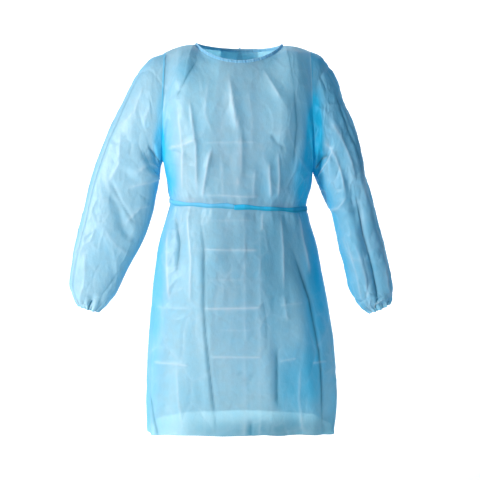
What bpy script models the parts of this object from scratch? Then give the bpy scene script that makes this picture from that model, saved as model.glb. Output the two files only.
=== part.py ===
"""Isolation gown of thin non-woven cloth, filled out as worn, with no wearer.

Metres, +Z up, the front faces -Y. The origin is the point between the wearer's
shoulders that carries the gown. "Right" and "left" are the wearer's, so the
right side is at -X. Each cloth piece is a thin wall lofted through sections, and
pieces that are sewn together share one surface, parted by a hairline at the seam.
"""

from collections import namedtuple

import bmesh
import bpy
import numpy as np
from mathutils import Matrix

# Cloth and seams.
WALL = 0.0015
TIE_WALL = 0.0012
SEAM_GAP = 0.0003
LAYER_STEP = 0.0030
BAND_LIFT = 0.0020

# Body: heights of the hem, the belt and the underarms, and the places of the seams.
# The hem dips at the sides.
HEM_Z = -1.105
HEM_DIP = 0.016
BELT_WIDTH = 0.018
UNDERARM_Z = {"right": -0.340, "left": -0.366}
SHOULDER_POINT = {"right": (-0.208, 0.0, -0.031), "left": (0.197, 0.0, -0.030)}
NECK_POINT = {"right": (-0.1266, 0.0, -0.010), "left": (0.1215, 0.0, -0.014)}
NECK_FRONT = {"reach": -0.086, "drop": 0.052, "bend": 1.3}
NECK_BACK = {"reach": 0.064, "drop": 0.015, "bend": 0.85}
ARMHOLE_HALF_DEPTH = 0.072
CHEST_FRONT = -0.121
CHEST_BACK = 0.114
BINDING_WIDTH = 0.0070

# Meshing: columns run round the body and rows run up it. The neck point is on a
# column, and a sleeve has two columns for each row of its armhole's edge.
HALF_COLUMNS = 30
NECK_COLUMN = 7
OVERLAP_COLUMNS = 3
JOIN_COLUMN = 15
SKIRT_ROWS = 13
BELT_LEVEL = 0.8565
CHEST_ROWS = 2
YOKE_ROWS = 12
SLEEVE_ROWS = 16
CUFF_START = 0.93

BodySection = namedtuple("BodySection", "height right left front back squareness")
BODY_SECTIONS = (
    BodySection(-1.105, -0.266, 0.272, -0.131, 0.144, 2.80),
    BodySection(-1.045, -0.268, 0.281, -0.133, 0.145, 2.75),
    BodySection(-0.950, -0.267, 0.280, -0.136, 0.146, 2.65),
    BodySection(-0.855, -0.264, 0.272, -0.138, 0.146, 2.50),
    BodySection(-0.760, -0.256, 0.257, -0.137, 0.144, 2.35),
    BodySection(-0.670, -0.249, 0.239, -0.132, 0.138, 2.20),
    BodySection(-0.575, -0.233, 0.218, -0.122, 0.126, 2.10),
    BodySection(-0.506, -0.214, 0.198, -0.111, 0.112, 2.10),
    BodySection(-0.462, -0.199, 0.190, -0.106, 0.105, 2.10),
    BodySection(-0.412, -0.206, 0.203, -0.114, 0.110, 2.35),
    BodySection(-0.340, -0.219, 0.208, -0.122, 0.115, 3.00),
)

# A fold's points are (x, z), its width is that of one flank, and its height is
# positive where the cloth stands out and negative where it sinks in.
Fold = namedtuple("Fold", "points width height")
FRONT_FOLDS = (
    Fold(((-0.031, -0.09), (0.000, -0.28), (-0.012, -0.43)), 0.018, 0.008),
    Fold(((-0.168, -0.15), (-0.128, -0.28), (-0.122, -0.44)), 0.018, 0.008),
    Fold(((-0.078, -0.30), (-0.104, -0.43)), 0.016, 0.006),
    Fold(((0.070, -0.09), (0.118, -0.17), (0.120, -0.30)), 0.020, 0.007),
    Fold(((0.150, -0.24), (0.138, -0.44)), 0.018, -0.007),
    Fold(((0.075, -0.30), (0.086, -0.44)), 0.018, 0.006),
    Fold(((-0.160, -0.47), (-0.168, -0.62)), 0.016, -0.010),
    Fold(((-0.116, -0.48), (-0.103, -0.76), (-0.066, -1.15)), 0.020, 0.009),
    Fold(((-0.022, -0.48), (-0.030, -0.62)), 0.018, -0.006),
    Fold(((0.055, -0.48), (0.072, -0.80), (0.098, -1.15)), 0.022, 0.008),
    Fold(((0.132, -0.50), (0.198, -0.74), (0.236, -1.15)), 0.020, -0.011),
    Fold(((-0.205, -0.62), (-0.222, -0.85), (-0.225, -1.15)), 0.018, 0.008),
)
BACK_FOLDS = (
    Fold(((-0.150, -0.16), (-0.128, -0.44)), 0.020, 0.008),
    Fold(((0.142, -0.14), (0.118, -0.44)), 0.020, 0.008),
    Fold(((-0.118, -0.48), (-0.150, -0.80), (-0.170, -1.15)), 0.024, 0.011),
    Fold(((0.112, -0.48), (0.138, -0.80), (0.165, -1.15)), 0.024, 0.011),
    Fold(((-0.175, -0.48), (-0.212, -0.75)), 0.018, -0.009),
    Fold(((0.168, -0.48), (0.210, -0.75)), 0.018, -0.009),
)
HEM_FLUTES = {"count": 11, "depth": 0.005}
WAIST_GATHERS = {"count": 15, "depth": 0.003, "reach": 0.075}

# A sleeve section is a ring across the arm, from its outer (x, z) point to its
# inner one. The armhole comes before the first of them, and the mouth is the last.
SleeveSection = namedtuple(
    "SleeveSection", "outer_x outer_z inner_x inner_z centre_y half_depth"
)
SLEEVE_SECTIONS = {
    "right": (
        SleeveSection(-0.254, -0.053, -0.224, -0.356, -0.001, 0.070),
        SleeveSection(-0.298, -0.104, -0.227, -0.374, -0.002, 0.066),
        SleeveSection(-0.337, -0.182, -0.231, -0.400, -0.004, 0.062),
        SleeveSection(-0.387, -0.284, -0.239, -0.443, -0.008, 0.056),
        SleeveSection(-0.424, -0.386, -0.252, -0.498, -0.012, 0.052),
        SleeveSection(-0.448, -0.489, -0.278, -0.567, -0.018, 0.049),
        SleeveSection(-0.474, -0.590, -0.317, -0.639, -0.026, 0.047),
        SleeveSection(-0.486, -0.677, -0.353, -0.709, -0.034, 0.044),
        SleeveSection(-0.479, -0.712, -0.375, -0.737, -0.038, 0.041),
        SleeveSection(-0.469, -0.733, -0.391, -0.754, -0.041, 0.035),
        SleeveSection(-0.461, -0.745, -0.401, -0.764, -0.043, 0.029),
    ),
    "left": (
        SleeveSection(0.237, -0.053, 0.212, -0.380, -0.001, 0.074),
        SleeveSection(0.274, -0.109, 0.220, -0.396, -0.002, 0.074),
        SleeveSection(0.304, -0.185, 0.230, -0.417, -0.004, 0.073),
        SleeveSection(0.341, -0.281, 0.246, -0.449, -0.008, 0.072),
        SleeveSection(0.362, -0.392, 0.261, -0.495, -0.012, 0.070),
        SleeveSection(0.390, -0.501, 0.274, -0.558, -0.018, 0.068),
        SleeveSection(0.420, -0.610, 0.292, -0.628, -0.026, 0.064),
        SleeveSection(0.435, -0.689, 0.310, -0.703, -0.034, 0.054),
        SleeveSection(0.436, -0.712, 0.324, -0.730, -0.038, 0.048),
        SleeveSection(0.433, -0.727, 0.344, -0.752, -0.041, 0.039),
        SleeveSection(0.428, -0.740, 0.366, -0.768, -0.043, 0.031),
    ),
}
CUFF_GATHER_DEPTH = 0.0021

# A sleeve fold's points are (turn, run): the turn goes from 0 at the outer line
# through a quarter at the front to a half at the inner line, and the run goes
# from 0 at the armhole to 1 at the cuff.
SLEEVE_FOLDS = {
    "right": (
        Fold(((0.06, 0.10), (0.10, 0.50), (0.08, 0.90)), 0.040, 0.004),
        Fold(((0.42, 0.10), (0.30, 0.30)), 0.040, -0.009),
        Fold(((0.46, 0.22), (0.24, 0.38)), 0.040, 0.009),
        Fold(((0.20, 0.44), (0.36, 0.56)), 0.040, -0.007),
        Fold(((0.28, 0.74), (0.26, 0.94)), 0.035, -0.007),
        Fold(((0.70, 0.10), (0.64, 0.42)), 0.040, 0.008),
        Fold(((0.62, 0.46), (0.80, 0.60)), 0.040, -0.008),
    ),
    "left": (
        Fold(((0.10, 0.14), (0.14, 0.52), (0.10, 0.88)), 0.040, 0.006),
        Fold(((0.40, 0.08), (0.28, 0.26)), 0.040, -0.009),
        Fold(((0.30, 0.10), (0.24, 0.45), (0.22, 0.84)), 0.035, -0.007),
        Fold(((0.44, 0.40), (0.26, 0.50)), 0.040, 0.006),
        Fold(((0.70, 0.10), (0.64, 0.42)), 0.040, 0.008),
        Fold(((0.60, 0.46), (0.80, 0.62)), 0.040, -0.008),
    ),
}

# Two tails hang from each knot at the middle of the back. A tail runs down the
# panel's grid from its first row to its last, and leans out to the side.
Tie = namedtuple("Tie", "knot first last apart lean width")
WAIST_TIE = Tie((0.0310, 0.0130, 0.0240), 11.95, 6.60, 0.0056, 0.034, 0.018)
NECK_TIE = Tie((0.0150, 0.0080, 0.0120), 27.91, 22.60, 0.0028, 0.016, 0.007)
ROUNDED = 0.84
TAIL_ROWS = 10
TAIL_LIFT = 0.0020

NonWoven = namedtuple("NonWoven", "colour roughness")
CLOTH = NonWoven((0.36, 0.69, 0.86, 1.0), 0.55)
TRIM = NonWoven((0.24, 0.58, 0.78, 1.0), 0.55)


def clear_scene():
    for old in list(bpy.data.objects):
        bpy.data.objects.remove(old)


def new_collection(name):
    collection = bpy.data.collections.new(name)
    bpy.context.scene.collection.children.link(collection)
    return collection


def new_material(name, finish):
    material = bpy.data.materials.new(name)
    material.use_nodes = True
    shader = material.node_tree.nodes["Principled BSDF"]
    shader.inputs["Base Color"].default_value = finish.colour
    shader.inputs["Roughness"].default_value = finish.roughness
    shader.inputs["Metallic"].default_value = 0.0
    return material


def smooth_step(t):
    t = np.clip(t, 0.0, 1.0)
    return t * t * (3.0 - 2.0 * t)


def power(value, exponent):
    return np.sign(value) * np.abs(value) ** exponent


def unit(vectors):
    return vectors / np.maximum(np.linalg.norm(vectors, axis=-1), 1e-12)[..., None]


def smooth_through(knots, values, at):
    """A curve through the values whose slopes are those of its neighbours."""
    slopes = np.gradient(values, knots)
    i = np.clip(np.searchsorted(knots, at, side="right") - 1, 0, len(knots) - 2)
    span = knots[i + 1] - knots[i]
    t = np.clip((at - knots[i]) / span, 0.0, 1.0)
    return (
        (2 * t**3 - 3 * t**2 + 1) * values[i]
        + (t**3 - 2 * t**2 + t) * span * slopes[i]
        + (3 * t**2 - 2 * t**3) * values[i + 1]
        + (t**3 - t**2) * span * slopes[i + 1]
    )


def sizes_at(table, knots, at):
    """Every column of the table, as one curve each, read at the given places."""
    columns = np.array(table, float).T
    return {
        name: smooth_through(knots, column, at)
        for name, column in zip(table[0]._fields, columns)
    }


def between_sides(sizes, angle):
    """A size that changes from the right side to the left one, round the body."""
    return sizes["right"] + (sizes["left"] - sizes["right"]) * (1 - np.cos(angle)) / 2


def skirt_ring(facing, angle, height):
    """Below the underarms. The angle is 0 at the right side seam and pi at the left."""
    knots = np.array([section.height for section in BODY_SECTIONS])
    at = sizes_at(BODY_SECTIONS, knots, height)
    exponent = 2.0 / at["squareness"]
    middle = (at["right"] + at["left"]) / 2
    half_width = (at["left"] - at["right"]) / 2
    depth = at["front"] if facing == "front" else at["back"]
    across = middle - half_width * power(np.cos(angle), exponent)
    deep = depth * np.maximum(np.sin(angle), 0.0) ** exponent
    return np.stack(np.broadcast_arrays(across, deep, height), axis=-1)


def neck_angle():
    return (NECK_COLUMN - 0.5) * np.pi / HALF_COLUMNS


def shoulder_seam(angle):
    from_side = np.minimum(angle, np.pi - angle)
    along = np.clip(from_side / neck_angle(), 0, 1)[..., None]
    on_left = (angle > np.pi / 2)[..., None]
    shoulder = np.where(on_left, SHOULDER_POINT["left"], SHOULDER_POINT["right"])
    neck = np.where(on_left, NECK_POINT["left"], NECK_POINT["right"])
    seam = shoulder + (neck - shoulder) * along
    seam[..., 2] += 0.005 * np.sin(np.pi * along[..., 0])
    return seam


def neckline(facing, angle):
    shape = NECK_FRONT if facing == "front" else NECK_BACK
    turn = (angle - neck_angle()) / (np.pi - 2 * neck_angle())
    turn = np.pi * np.clip(turn, 0, 1)
    right, left = (np.array(NECK_POINT[side]) for side in ("right", "left"))
    share = 0.82 * (1 - np.cos(turn)) / 2 + 0.18 * turn / np.pi
    line = right + (left - right) * share[..., None]
    line[..., 1] += shape["reach"] * np.sin(turn)
    line[..., 2] -= shape["drop"] * np.sin(turn) ** shape["bend"]
    return line


def yoke_ring(facing, angle, climb):
    """Above the underarms: climb is 0 at their height, and 1 at the top edge.

    Next to a sleeve each column is half an ellipse, which is the armhole's edge.
    Further in it is a quarter of one, which rises upright and turns in at the top.
    """
    base = skirt_ring(facing, angle, between_sides(UNDERARM_Z, angle))
    from_side = np.minimum(angle, np.pi - angle)
    on_neck = (from_side >= neck_angle() - 1e-9)[..., None]
    top = np.where(on_neck, neckline(facing, angle), shoulder_seam(angle))
    turned = np.pi / 2 * (1 - 0.4 * smooth_step((from_side - neck_angle()) / 0.6))
    away = smooth_step(np.sin(angle) / 0.5)
    round_share = (1 - np.cos(np.pi * climb)) / 2
    rise = round_share + (np.sin(turned * climb) / np.sin(turned) - round_share) * away
    turn_in = (1 - np.cos(turned * climb)) / (1 - np.cos(turned))
    turn_in = round_share + (turn_in - round_share) * away
    armhole = -ARMHOLE_HALF_DEPTH if facing == "front" else ARMHOLE_HALF_DEPTH
    middle = CHEST_FRONT if facing == "front" else CHEST_BACK
    chest = armhole + (middle - armhole) * np.maximum(np.sin(angle), 0.0) ** 1.3
    unarched = base[..., 1] + (top - base)[..., 1] * (0.5 - 0.22 * away)
    arch = np.sin(np.pi * climb) ** 0.9 * (1 - away)
    arch = arch + np.sin(np.pi * climb**1.25) * away
    bulge = (chest - unarched) * arch
    lean = round_share + (climb - round_share) * away
    shares = np.stack(np.broadcast_arrays(lean, turn_in, rise), axis=-1)
    point = base + (top - base) * shares
    point[..., 1] += bulge
    return point


def body_point(facing, angle, level):
    """The body before folds: level 0 is the hem, 1 the underarms and 2 the top."""
    angle, level = np.broadcast_arrays(angle, level)
    underarm = between_sides(UNDERARM_Z, angle)
    hem = HEM_Z - HEM_DIP * np.cos(angle) ** 4
    height = hem + (underarm - hem) * np.clip(level, 0, 1)
    below = skirt_ring(facing, angle, height)
    above = yoke_ring(facing, angle, np.clip(level - 1.0, 0, 1))
    return np.where((level <= 1.0)[..., None], below, above)


def fold_heights(folds, across, along, lap=None):
    """How far the folds lift the cloth. Across comes round again after one lap."""
    total = np.zeros(np.broadcast(across, along).shape)
    for fold in folds:
        line = np.array(sorted(fold.points, key=lambda point: point[1]))
        low, high = line[0, 1], line[-1, 1]
        away = across - np.interp(along, line[:, 1], line[:, 0])
        if lap:
            away = (away + lap / 2) % lap - lap / 2
        fade = 0.25 * (high - low)
        ends = smooth_step((along - low) / fade) * smooth_step((high - along) / fade)
        total += fold.height * ends * np.exp(-((away / fold.width) ** 2))
    return total


def body_lift(facing, angle, level, point):
    """How far folds, waist gathers and hem flutes move the cloth outwards."""
    folds = FRONT_FOLDS if facing == "front" else BACK_FOLDS
    inward = np.sin(angle)
    lift = fold_heights(folds, point[..., 0], point[..., 2])
    lift *= smooth_step(inward / 0.35)
    turn = angle if facing == "front" else 2 * np.pi - angle
    from_belt = np.abs(level - BELT_LEVEL) * (UNDERARM_Z["right"] - HEM_Z)
    gathered = 1 - smooth_step(from_belt / WAIST_GATHERS["reach"])
    waves = np.cos(WAIST_GATHERS["count"] * turn + 0.6)
    lift += WAIST_GATHERS["depth"] * gathered * waves
    skirt = 1 - smooth_step(level / 0.6)
    flutes = np.cos(HEM_FLUTES["count"] * turn + 0.4 + 0.9 * np.sin(2 * turn))
    lift += HEM_FLUTES["depth"] * skirt * flutes
    pressed = 1 - smooth_step((from_belt - 0.4 * BELT_WIDTH) / BELT_WIDTH)
    from_top = smooth_step((2.0 - level) / 0.25)
    return lift * (1 - 0.6 * pressed) * from_top


def overlap_layer(angle):
    """The right back panel lies outside the left one where they overlap."""
    return LAYER_STEP * smooth_step((angle - neck_angle()) / 0.5)


def sleeve_sections(side):
    """The sleeve's sections, with the armhole's edge on the body as the first."""
    angle = 0.0 if side == "right" else np.pi
    shoulder = SHOULDER_POINT[side]
    underarm = skirt_ring("front", np.array(angle), np.array(UNDERARM_Z[side]))
    armhole = SleeveSection(
        shoulder[0], shoulder[2], underarm[0], underarm[2], 0.0, ARMHOLE_HALF_DEPTH
    )
    return (armhole, *SLEEVE_SECTIONS[side])


def sleeve_point(side, turn, run):
    """A sleeve before folds: run 0 is the armhole and turn 0 is the outer line."""
    table = sleeve_sections(side)
    at = sizes_at(table, np.linspace(0, 1, len(table)), run)
    swing = 2 * np.pi * turn
    near = (1 + np.cos(swing)) / 2
    across = at["inner_x"] + (at["outer_x"] - at["inner_x"]) * near
    height = at["inner_z"] + (at["outer_z"] - at["inner_z"]) * near
    deep = at["centre_y"] - at["half_depth"] * power(np.sin(swing), 0.9)
    return np.stack([across, deep, height], axis=-1)


def sleeve_lift(side, turn, run):
    """How far folds move a sleeve's cloth outwards, and the gathers at its cuff."""
    folds = fold_heights(SLEEVE_FOLDS[side], turn, run, lap=1.0)
    pulled_in = smooth_step((run - 0.76) / 0.16)
    gathers = CUFF_GATHER_DEPTH * np.cos(2 * np.pi * YOKE_ROWS * turn)
    return folds * smooth_step(run / 0.08) * (1 - 0.6 * pulled_in) + gathers * pulled_in


def outward_of(grids):
    """The cloth's outward direction at each point, shared by the pieces sewn there."""
    sums = {}
    for grid in grids.values():
        first, second = grid[1:, 1:] - grid[:-1, :-1], grid[1:, :-1] - grid[:-1, 1:]
        faces = np.cross(first, second)
        rows, columns = faces.shape[:2]
        for i, j in ((0, 0), (0, 1), (1, 0), (1, 1)):
            corners = np.round(grid[i : i + rows, j : j + columns], 6)
            for place, face in zip(corners.reshape(-1, 3), faces.reshape(-1, 3)):
                key = tuple(place)
                sums[key] = sums.get(key, 0.0) + face
    outward = {}
    for name, grid in grids.items():
        found = [sums[tuple(place)] for place in np.round(grid.reshape(-1, 3), 6)]
        outward[name] = unit(np.array(found)).reshape(grid.shape)
    return outward


def body_columns():
    """The angles of the columns of each panel, in order as seen from outside."""
    inner = (np.arange(HALF_COLUMNS) + 0.5) * np.pi / HALF_COLUMNS
    reach = HALF_COLUMNS // 2 + OVERLAP_COLUMNS
    return {
        "front": np.concatenate([[0.0], inner, [np.pi]]),
        "back_right": np.concatenate([inner[:reach][::-1], [0.0]]),
        "back_left": np.concatenate([[np.pi], inner[-reach:][::-1]]),
    }


def body_rows():
    """The levels of the rows. Three of them are the edges and middle of the belt."""
    half_belt = BELT_WIDTH / 2 / (UNDERARM_Z["right"] - HEM_Z)
    skirt = np.linspace(0, BELT_LEVEL - half_belt, SKIRT_ROWS)
    chest = np.linspace(BELT_LEVEL + half_belt, 1, CHEST_ROWS + 1)
    yoke = np.linspace(1, 2, YOKE_ROWS + 1)
    return np.concatenate([skirt, [BELT_LEVEL], chest, yoke[1:]])


def sleeve_turns(side):
    turns = np.linspace(0, 1, 2 * YOKE_ROWS + 1)
    return turns[::-1] if side == "right" else turns


def sleeve_runs():
    return {
        "sleeve": np.linspace(0, CUFF_START, SLEEVE_ROWS + 1),
        "cuff": np.linspace(CUFF_START, 1, 3),
    }


def moved_out(grids, lifts):
    outward = outward_of(grids)
    return {
        name: grid + outward[name] * lifts[name][..., None]
        for name, grid in grids.items()
    }


def sewn_grids():
    """Every sewn piece, as rows of points on its outer face, with its folds."""
    plain, lifts = {}, {}
    for name, columns in body_columns().items():
        facing = name.split("_")[0]
        angle, level = np.meshgrid(columns, body_rows())
        plain[name] = body_point(facing, angle, level)
        lifts[name] = body_lift(facing, angle, level, plain[name])
        if name == "back_right":
            lifts[name] += overlap_layer(angle)
    for side in ("right", "left"):
        for name, runs in sleeve_runs().items():
            turn, run = np.meshgrid(sleeve_turns(side), runs)
            plain[f"{name}_{side}"] = sleeve_point(side, turn, run)
            lifts[f"{name}_{side}"] = sleeve_lift(side, turn, run)
    return moved_out(plain, lifts)


def drawn_back(grid, edges):
    """Draws the named edges back by half a seam's gap, along the cloth."""
    whole = slice(None)
    rows = {
        "bottom": ((0, whole), (1, whole)),
        "top": ((-1, whole), (-2, whole)),
        "first": ((whole, 0), (whole, 1)),
        "last": ((whole, -1), (whole, -2)),
    }
    out = grid.copy()
    for edge in edges:
        here, next_in = rows[edge]
        out[here] += unit(grid[next_in] - grid[here]) * SEAM_GAP / 2
    return out


def parts_of(name, edges):
    """A body panel is two solids that meet under the belt, where no gap shows."""
    if name not in body_columns():
        return [(name, slice(None), edges)]
    sides = [edge for edge in edges if edge != "top"]
    return [
        (name + "_bodice", slice(SKIRT_ROWS, None), [*edges, "bottom"]),
        (name + "_skirt", slice(None, SKIRT_ROWS + 1), [*sides, "top"]),
    ]


def new_piece(name, points, faces, material, collection):
    mesh = bpy.data.meshes.new(name)
    mesh.from_pydata(np.reshape(points, (-1, 3)).tolist(), [], faces)
    mesh.shade_smooth()
    mesh.materials.append(material)
    piece = bpy.data.objects.new(name, mesh)
    collection.objects.link(piece)
    return piece


def grid_faces(index):
    index = index.tolist()
    return [
        (low[j], low[j + 1], high[j + 1], high[j])
        for low, high in zip(index[:-1], index[1:])
        for j in range(len(low) - 1)
    ]


def edge_faces(points, outer, inner):
    """Closes the wall along an edge, in triangles.

    Each pair is cut from its lower outer corner to its upper inner one, whichever
    way the edge runs, so the facing edges of two pieces are cut alike.
    """
    faces = []
    height = points @ np.array([0.4, 0.2, 1.0])
    for j in range(len(outer) - 1):
        a, b, c, d = outer[j], inner[j], inner[j + 1], outer[j + 1]
        if height[a] < height[d]:
            faces += [(a, b, c), (a, c, d)]
        else:
            faces += [(a, b, d), (b, c, d)]
    return faces


def sewn_wall(name, grid, outward, material, collection):
    """A closed loft: the outer face, its twin inside it, and the edges between.

    Both faces move along directions shared with the neighbours, so the edges of
    two pieces stay parallel through the cloth. A tube's last column is its first.
    """
    tube = np.allclose(grid[:, 0], grid[:, -1])
    if tube:
        grid, outward = grid[:, :-1], outward[:, :-1]
    count = grid.shape[0] * grid.shape[1]
    outer = np.arange(count).reshape(grid.shape[:2])
    if tube:
        outer = np.column_stack([outer, outer[:, 0]])
    inner = outer + count
    points = np.concatenate([grid, grid - outward * WALL]).reshape(-1, 3)
    faces = grid_faces(outer) + grid_faces(inner[:, ::-1])
    edges = [(0, 1), (-1, -1)]
    for row, way in edges:
        faces += edge_faces(points, outer[row, ::way].tolist(), inner[row, ::way].tolist())
    if not tube:
        for column, way in ((0, -1), (-1, 1)):
            ends = outer[::way, column].tolist(), inner[::way, column].tolist()
            faces += edge_faces(points, *ends)
    return new_piece(name, points, faces, material, collection)


def strip(name, grid, material, collection):
    """A strip of doubled cloth on its outer face, thickened inwards."""
    index = np.arange(grid.shape[0] * grid.shape[1]).reshape(grid.shape[:2])
    piece = new_piece(name, grid, grid_faces(index), material, collection)
    thicken = piece.modifiers.new("thickness", "SOLIDIFY")
    thicken.thickness = TIE_WALL
    thicken.offset = -1.0
    return piece


def binding_path(grids):
    """Round the neck from the left panel's end, by the front, to the right's."""
    neck = NECK_COLUMN
    left = grids["back_left"][-1, neck + 1 :][::-1]
    front = grids["front"][-1, neck : HALF_COLUMNS + 2 - neck][::-1]
    right = grids["back_right"][-1, : -neck - 1][::-1]
    return np.concatenate([left, front, right])


def binding_grid(grids):
    path = binding_path(grids)
    to_middle = -path * np.array([1.0, 1.0, 0.0])
    lean = unit(unit(to_middle) * 0.45 + np.array([0.0, 0.0, 0.9]))
    rows = [path + lean * (SEAM_GAP + BINDING_WIDTH * share) for share in (0, 0.5, 1)]
    return np.array(rows)[:, ::-1]


def belt_grids(grids, outward):
    """Both halves of the belt, from the join at the front to the knot behind."""
    rows = slice(SKIRT_ROWS - 1, SKIRT_ROWS + 2)
    front, right, left = (
        grids[name][rows] + outward[name][rows] * BAND_LIFT
        for name in ("front", "back_right", "back_left")
    )
    middle = OVERLAP_COLUMNS
    beyond = HALF_COLUMNS // 2 - OVERLAP_COLUMNS + 1
    right_half = np.concatenate([right[:, middle:], front[:, 1 : JOIN_COLUMN + 1]], 1)
    left_half = np.concatenate(
        [front[:, JOIN_COLUMN:], left[:, 1:beyond], right[:, :middle]], 1
    )
    return drawn_back(right_half, ["last"]), drawn_back(left_half, ["first"])


def on_panel(grid, row, column):
    """The grid's value between its points, at a row and column that aren't whole."""
    i, j = int(row), int(column)
    s, t = row - i, column - j
    low = grid[i, j] * (1 - t) + grid[i, j + 1] * t
    high = grid[i + 1, j] * (1 - t) + grid[i + 1, j + 1] * t
    return low * (1 - s) + high * s


def tail_grid(tie, side, panel, outward):
    """A hanging end: it lies on the back, moved out, and curls a little on its way."""
    middle = OVERLAP_COLUMNS - 0.5
    rows = []
    for drop in np.linspace(0, 1, TAIL_ROWS):
        row = tie.first + (tie.last - tie.first) * drop
        ends = on_panel(panel, row, middle - 0.5), on_panel(panel, row, middle + 0.5)
        spacing = np.linalg.norm(ends[1] - ends[0])
        width = tie.width * (0.55 + 0.45 * smooth_step(drop / 0.3))
        away = tie.apart + tie.lean * drop**0.9
        under_knot = 1 - smooth_step(drop / 0.18)
        lift = TAIL_LIFT + 0.17 * tie.knot[1] * under_knot + 0.004 * np.sin(np.pi * drop) ** 2
        strip_row = []
        for share in (-0.5, -0.17, 0.17, 0.5):
            column = middle - (side * away - share * width) / spacing
            curl = 1 + 0.3 * share * np.sin(6 * drop + side)
            place = on_panel(panel, row, column)
            strip_row.append(place + on_panel(outward, row, column) * lift * curl)
        rows.append(strip_row)
    return np.array(rows)[::-1]


def knot(name, size, place, outward, material, collection):
    """A knot: a rounded bundle of cloth that sits on the back."""
    tilt = Matrix.Rotation(np.arctan2(outward[2], outward[1]), 4, "X")
    shape = Matrix.Translation(place) @ tilt @ Matrix.Diagonal((*size, 1.0))
    cage = bmesh.new()
    bmesh.ops.create_cube(cage, size=1.0, matrix=shape)
    mesh = bpy.data.meshes.new(name)
    cage.to_mesh(mesh)
    cage.free()
    mesh.shade_smooth()
    mesh.materials.append(material)
    piece = bpy.data.objects.new(name, mesh)
    collection.objects.link(piece)
    rounding = piece.modifiers.new("rounding", "SUBSURF")
    rounding.levels = 2
    return piece


def add_ties(grids, outward, trim, gown):
    right_half, left_half = belt_grids(grids, outward)
    strip("waist_tie_right", right_half, trim, gown)
    strip("waist_tie_left", left_half, trim, gown)
    panel, away = grids["back_right"], outward["back_right"]
    spot = SKIRT_ROWS, OVERLAP_COLUMNS - 0.5
    off = ROUNDED * WAIST_TIE.knot[1] / 2 + SEAM_GAP
    place = on_panel(panel, *spot) + on_panel(away, *spot) * off
    knot("waist_knot", WAIST_TIE.knot, place, on_panel(away, *spot), trim, gown)

    binding = binding_grid(grids)
    strip("neck_binding", binding, trim, gown)
    rise = unit(binding[2] - binding[0])[OVERLAP_COLUMNS]
    facing = unit(np.cross(np.array([-1.0, 0.0, 0.0]), rise))
    off = ROUNDED * NECK_TIE.knot[1] / 2 + SEAM_GAP
    place = on_panel(binding, 1, OVERLAP_COLUMNS - 0.5) + facing * off
    knot("neck_knot", NECK_TIE.knot, place, facing, trim, gown)

    for side, name in ((-1, "right"), (1, "left")):
        for tie, kind in ((WAIST_TIE, "waist"), (NECK_TIE, "neck")):
            tail = tail_grid(tie, side, panel, away)
            strip(f"{kind}_tail_{name}", tail, trim, gown)


def main():
    clear_scene()
    gown = new_collection("isolation_gown")
    cloth = new_material("non_woven_blue", CLOTH)
    trim = new_material("non_woven_trim", TRIM)
    grids = sewn_grids()
    outward = outward_of(grids)
    seams = {
        "front": ["first", "last", "top"],
        "back_right": ["last", "top"],
        "back_left": ["first", "top"],
        "sleeve_right": ["bottom", "top"],
        "sleeve_left": ["bottom", "top"],
        "cuff_right": ["bottom"],
        "cuff_left": ["bottom"],
    }
    for name, edges in seams.items():
        for part, rows, own_edges in parts_of(name, edges):
            grid = drawn_back(grids[name][rows], own_edges)
            sewn_wall(part, grid, outward[name][rows], cloth, gown)
    add_ties(grids, outward, trim, gown)


main()
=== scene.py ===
"""The looks of an isolation gown: thin, see-through, creased non-woven cloth.

Metres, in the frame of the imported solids: +Z up, the front faces -Y, the origin
between the wearer's shoulders. Every sheet follows the surface of its solid, on a
finer grid and with finer creases.
"""

from collections import namedtuple

import bpy
import numpy as np
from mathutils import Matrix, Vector


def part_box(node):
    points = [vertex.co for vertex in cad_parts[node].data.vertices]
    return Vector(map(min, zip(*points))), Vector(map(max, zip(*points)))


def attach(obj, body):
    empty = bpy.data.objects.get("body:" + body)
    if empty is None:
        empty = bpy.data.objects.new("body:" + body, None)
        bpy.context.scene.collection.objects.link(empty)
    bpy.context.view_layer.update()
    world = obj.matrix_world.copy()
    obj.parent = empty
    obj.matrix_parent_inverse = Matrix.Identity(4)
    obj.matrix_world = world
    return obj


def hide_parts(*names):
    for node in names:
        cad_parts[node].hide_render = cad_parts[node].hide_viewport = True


def rows_of(kind, *rows):
    """Rows of values, each with the names of its columns."""
    return tuple(kind(*row) for row in rows)


# Camera and light.
CAMERA_AT = (0.0, -3.2, -0.20)
CAMERA_AIM = (0.0, 0.0, -0.564)
LENS = 84.16
FLOOR_Z = -1.45

# Cloth and seams.
LAYER_STEP = 0.0030
BAND_LIFT = 0.0022
GRID_STEP = 0.0033
SEAM_ALLOWANCE = 0.008

# Body: the same sizes as the solids have.
HEM_Z = -1.105
HEM_DIP = 0.016
BELT_WIDTH = 0.018
UNDERARM_Z = {"right": -0.340, "left": -0.366}
SHOULDER_POINT = {"right": (-0.208, 0.0, -0.031), "left": (0.197, 0.0, -0.030)}
NECK_POINT = {"right": (-0.1266, 0.0, -0.010), "left": (0.1215, 0.0, -0.014)}
NECK_FRONT = {"reach": -0.086, "drop": 0.052, "bend": 1.3}
NECK_BACK = {"reach": 0.064, "drop": 0.015, "bend": 0.85}
ARMHOLE_HALF_DEPTH = 0.072
CHEST_FRONT = -0.121
CHEST_BACK = 0.114
BELT_LEVEL = 0.8565

# Places round the body, as angles from the right side seam. The belt's halves meet
# at the join in front, and the back panels overlap between their two ends. The left
# half passes from the left panel to the right one, which lies outside.
STEP = np.pi / 30
NECK_ANGLE = 6.5 * STEP
JOIN_ANGLE = 14.5 * STEP
KNOT_ANGLE = 15.0 * STEP
RIGHT_PANEL_END = 17.5 * STEP
LEFT_PANEL_END = 12.5 * STEP
LEFT_BELT_CROSSES = 18.5 * STEP
LEFT_BELT_END = 15.5 * STEP

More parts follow.
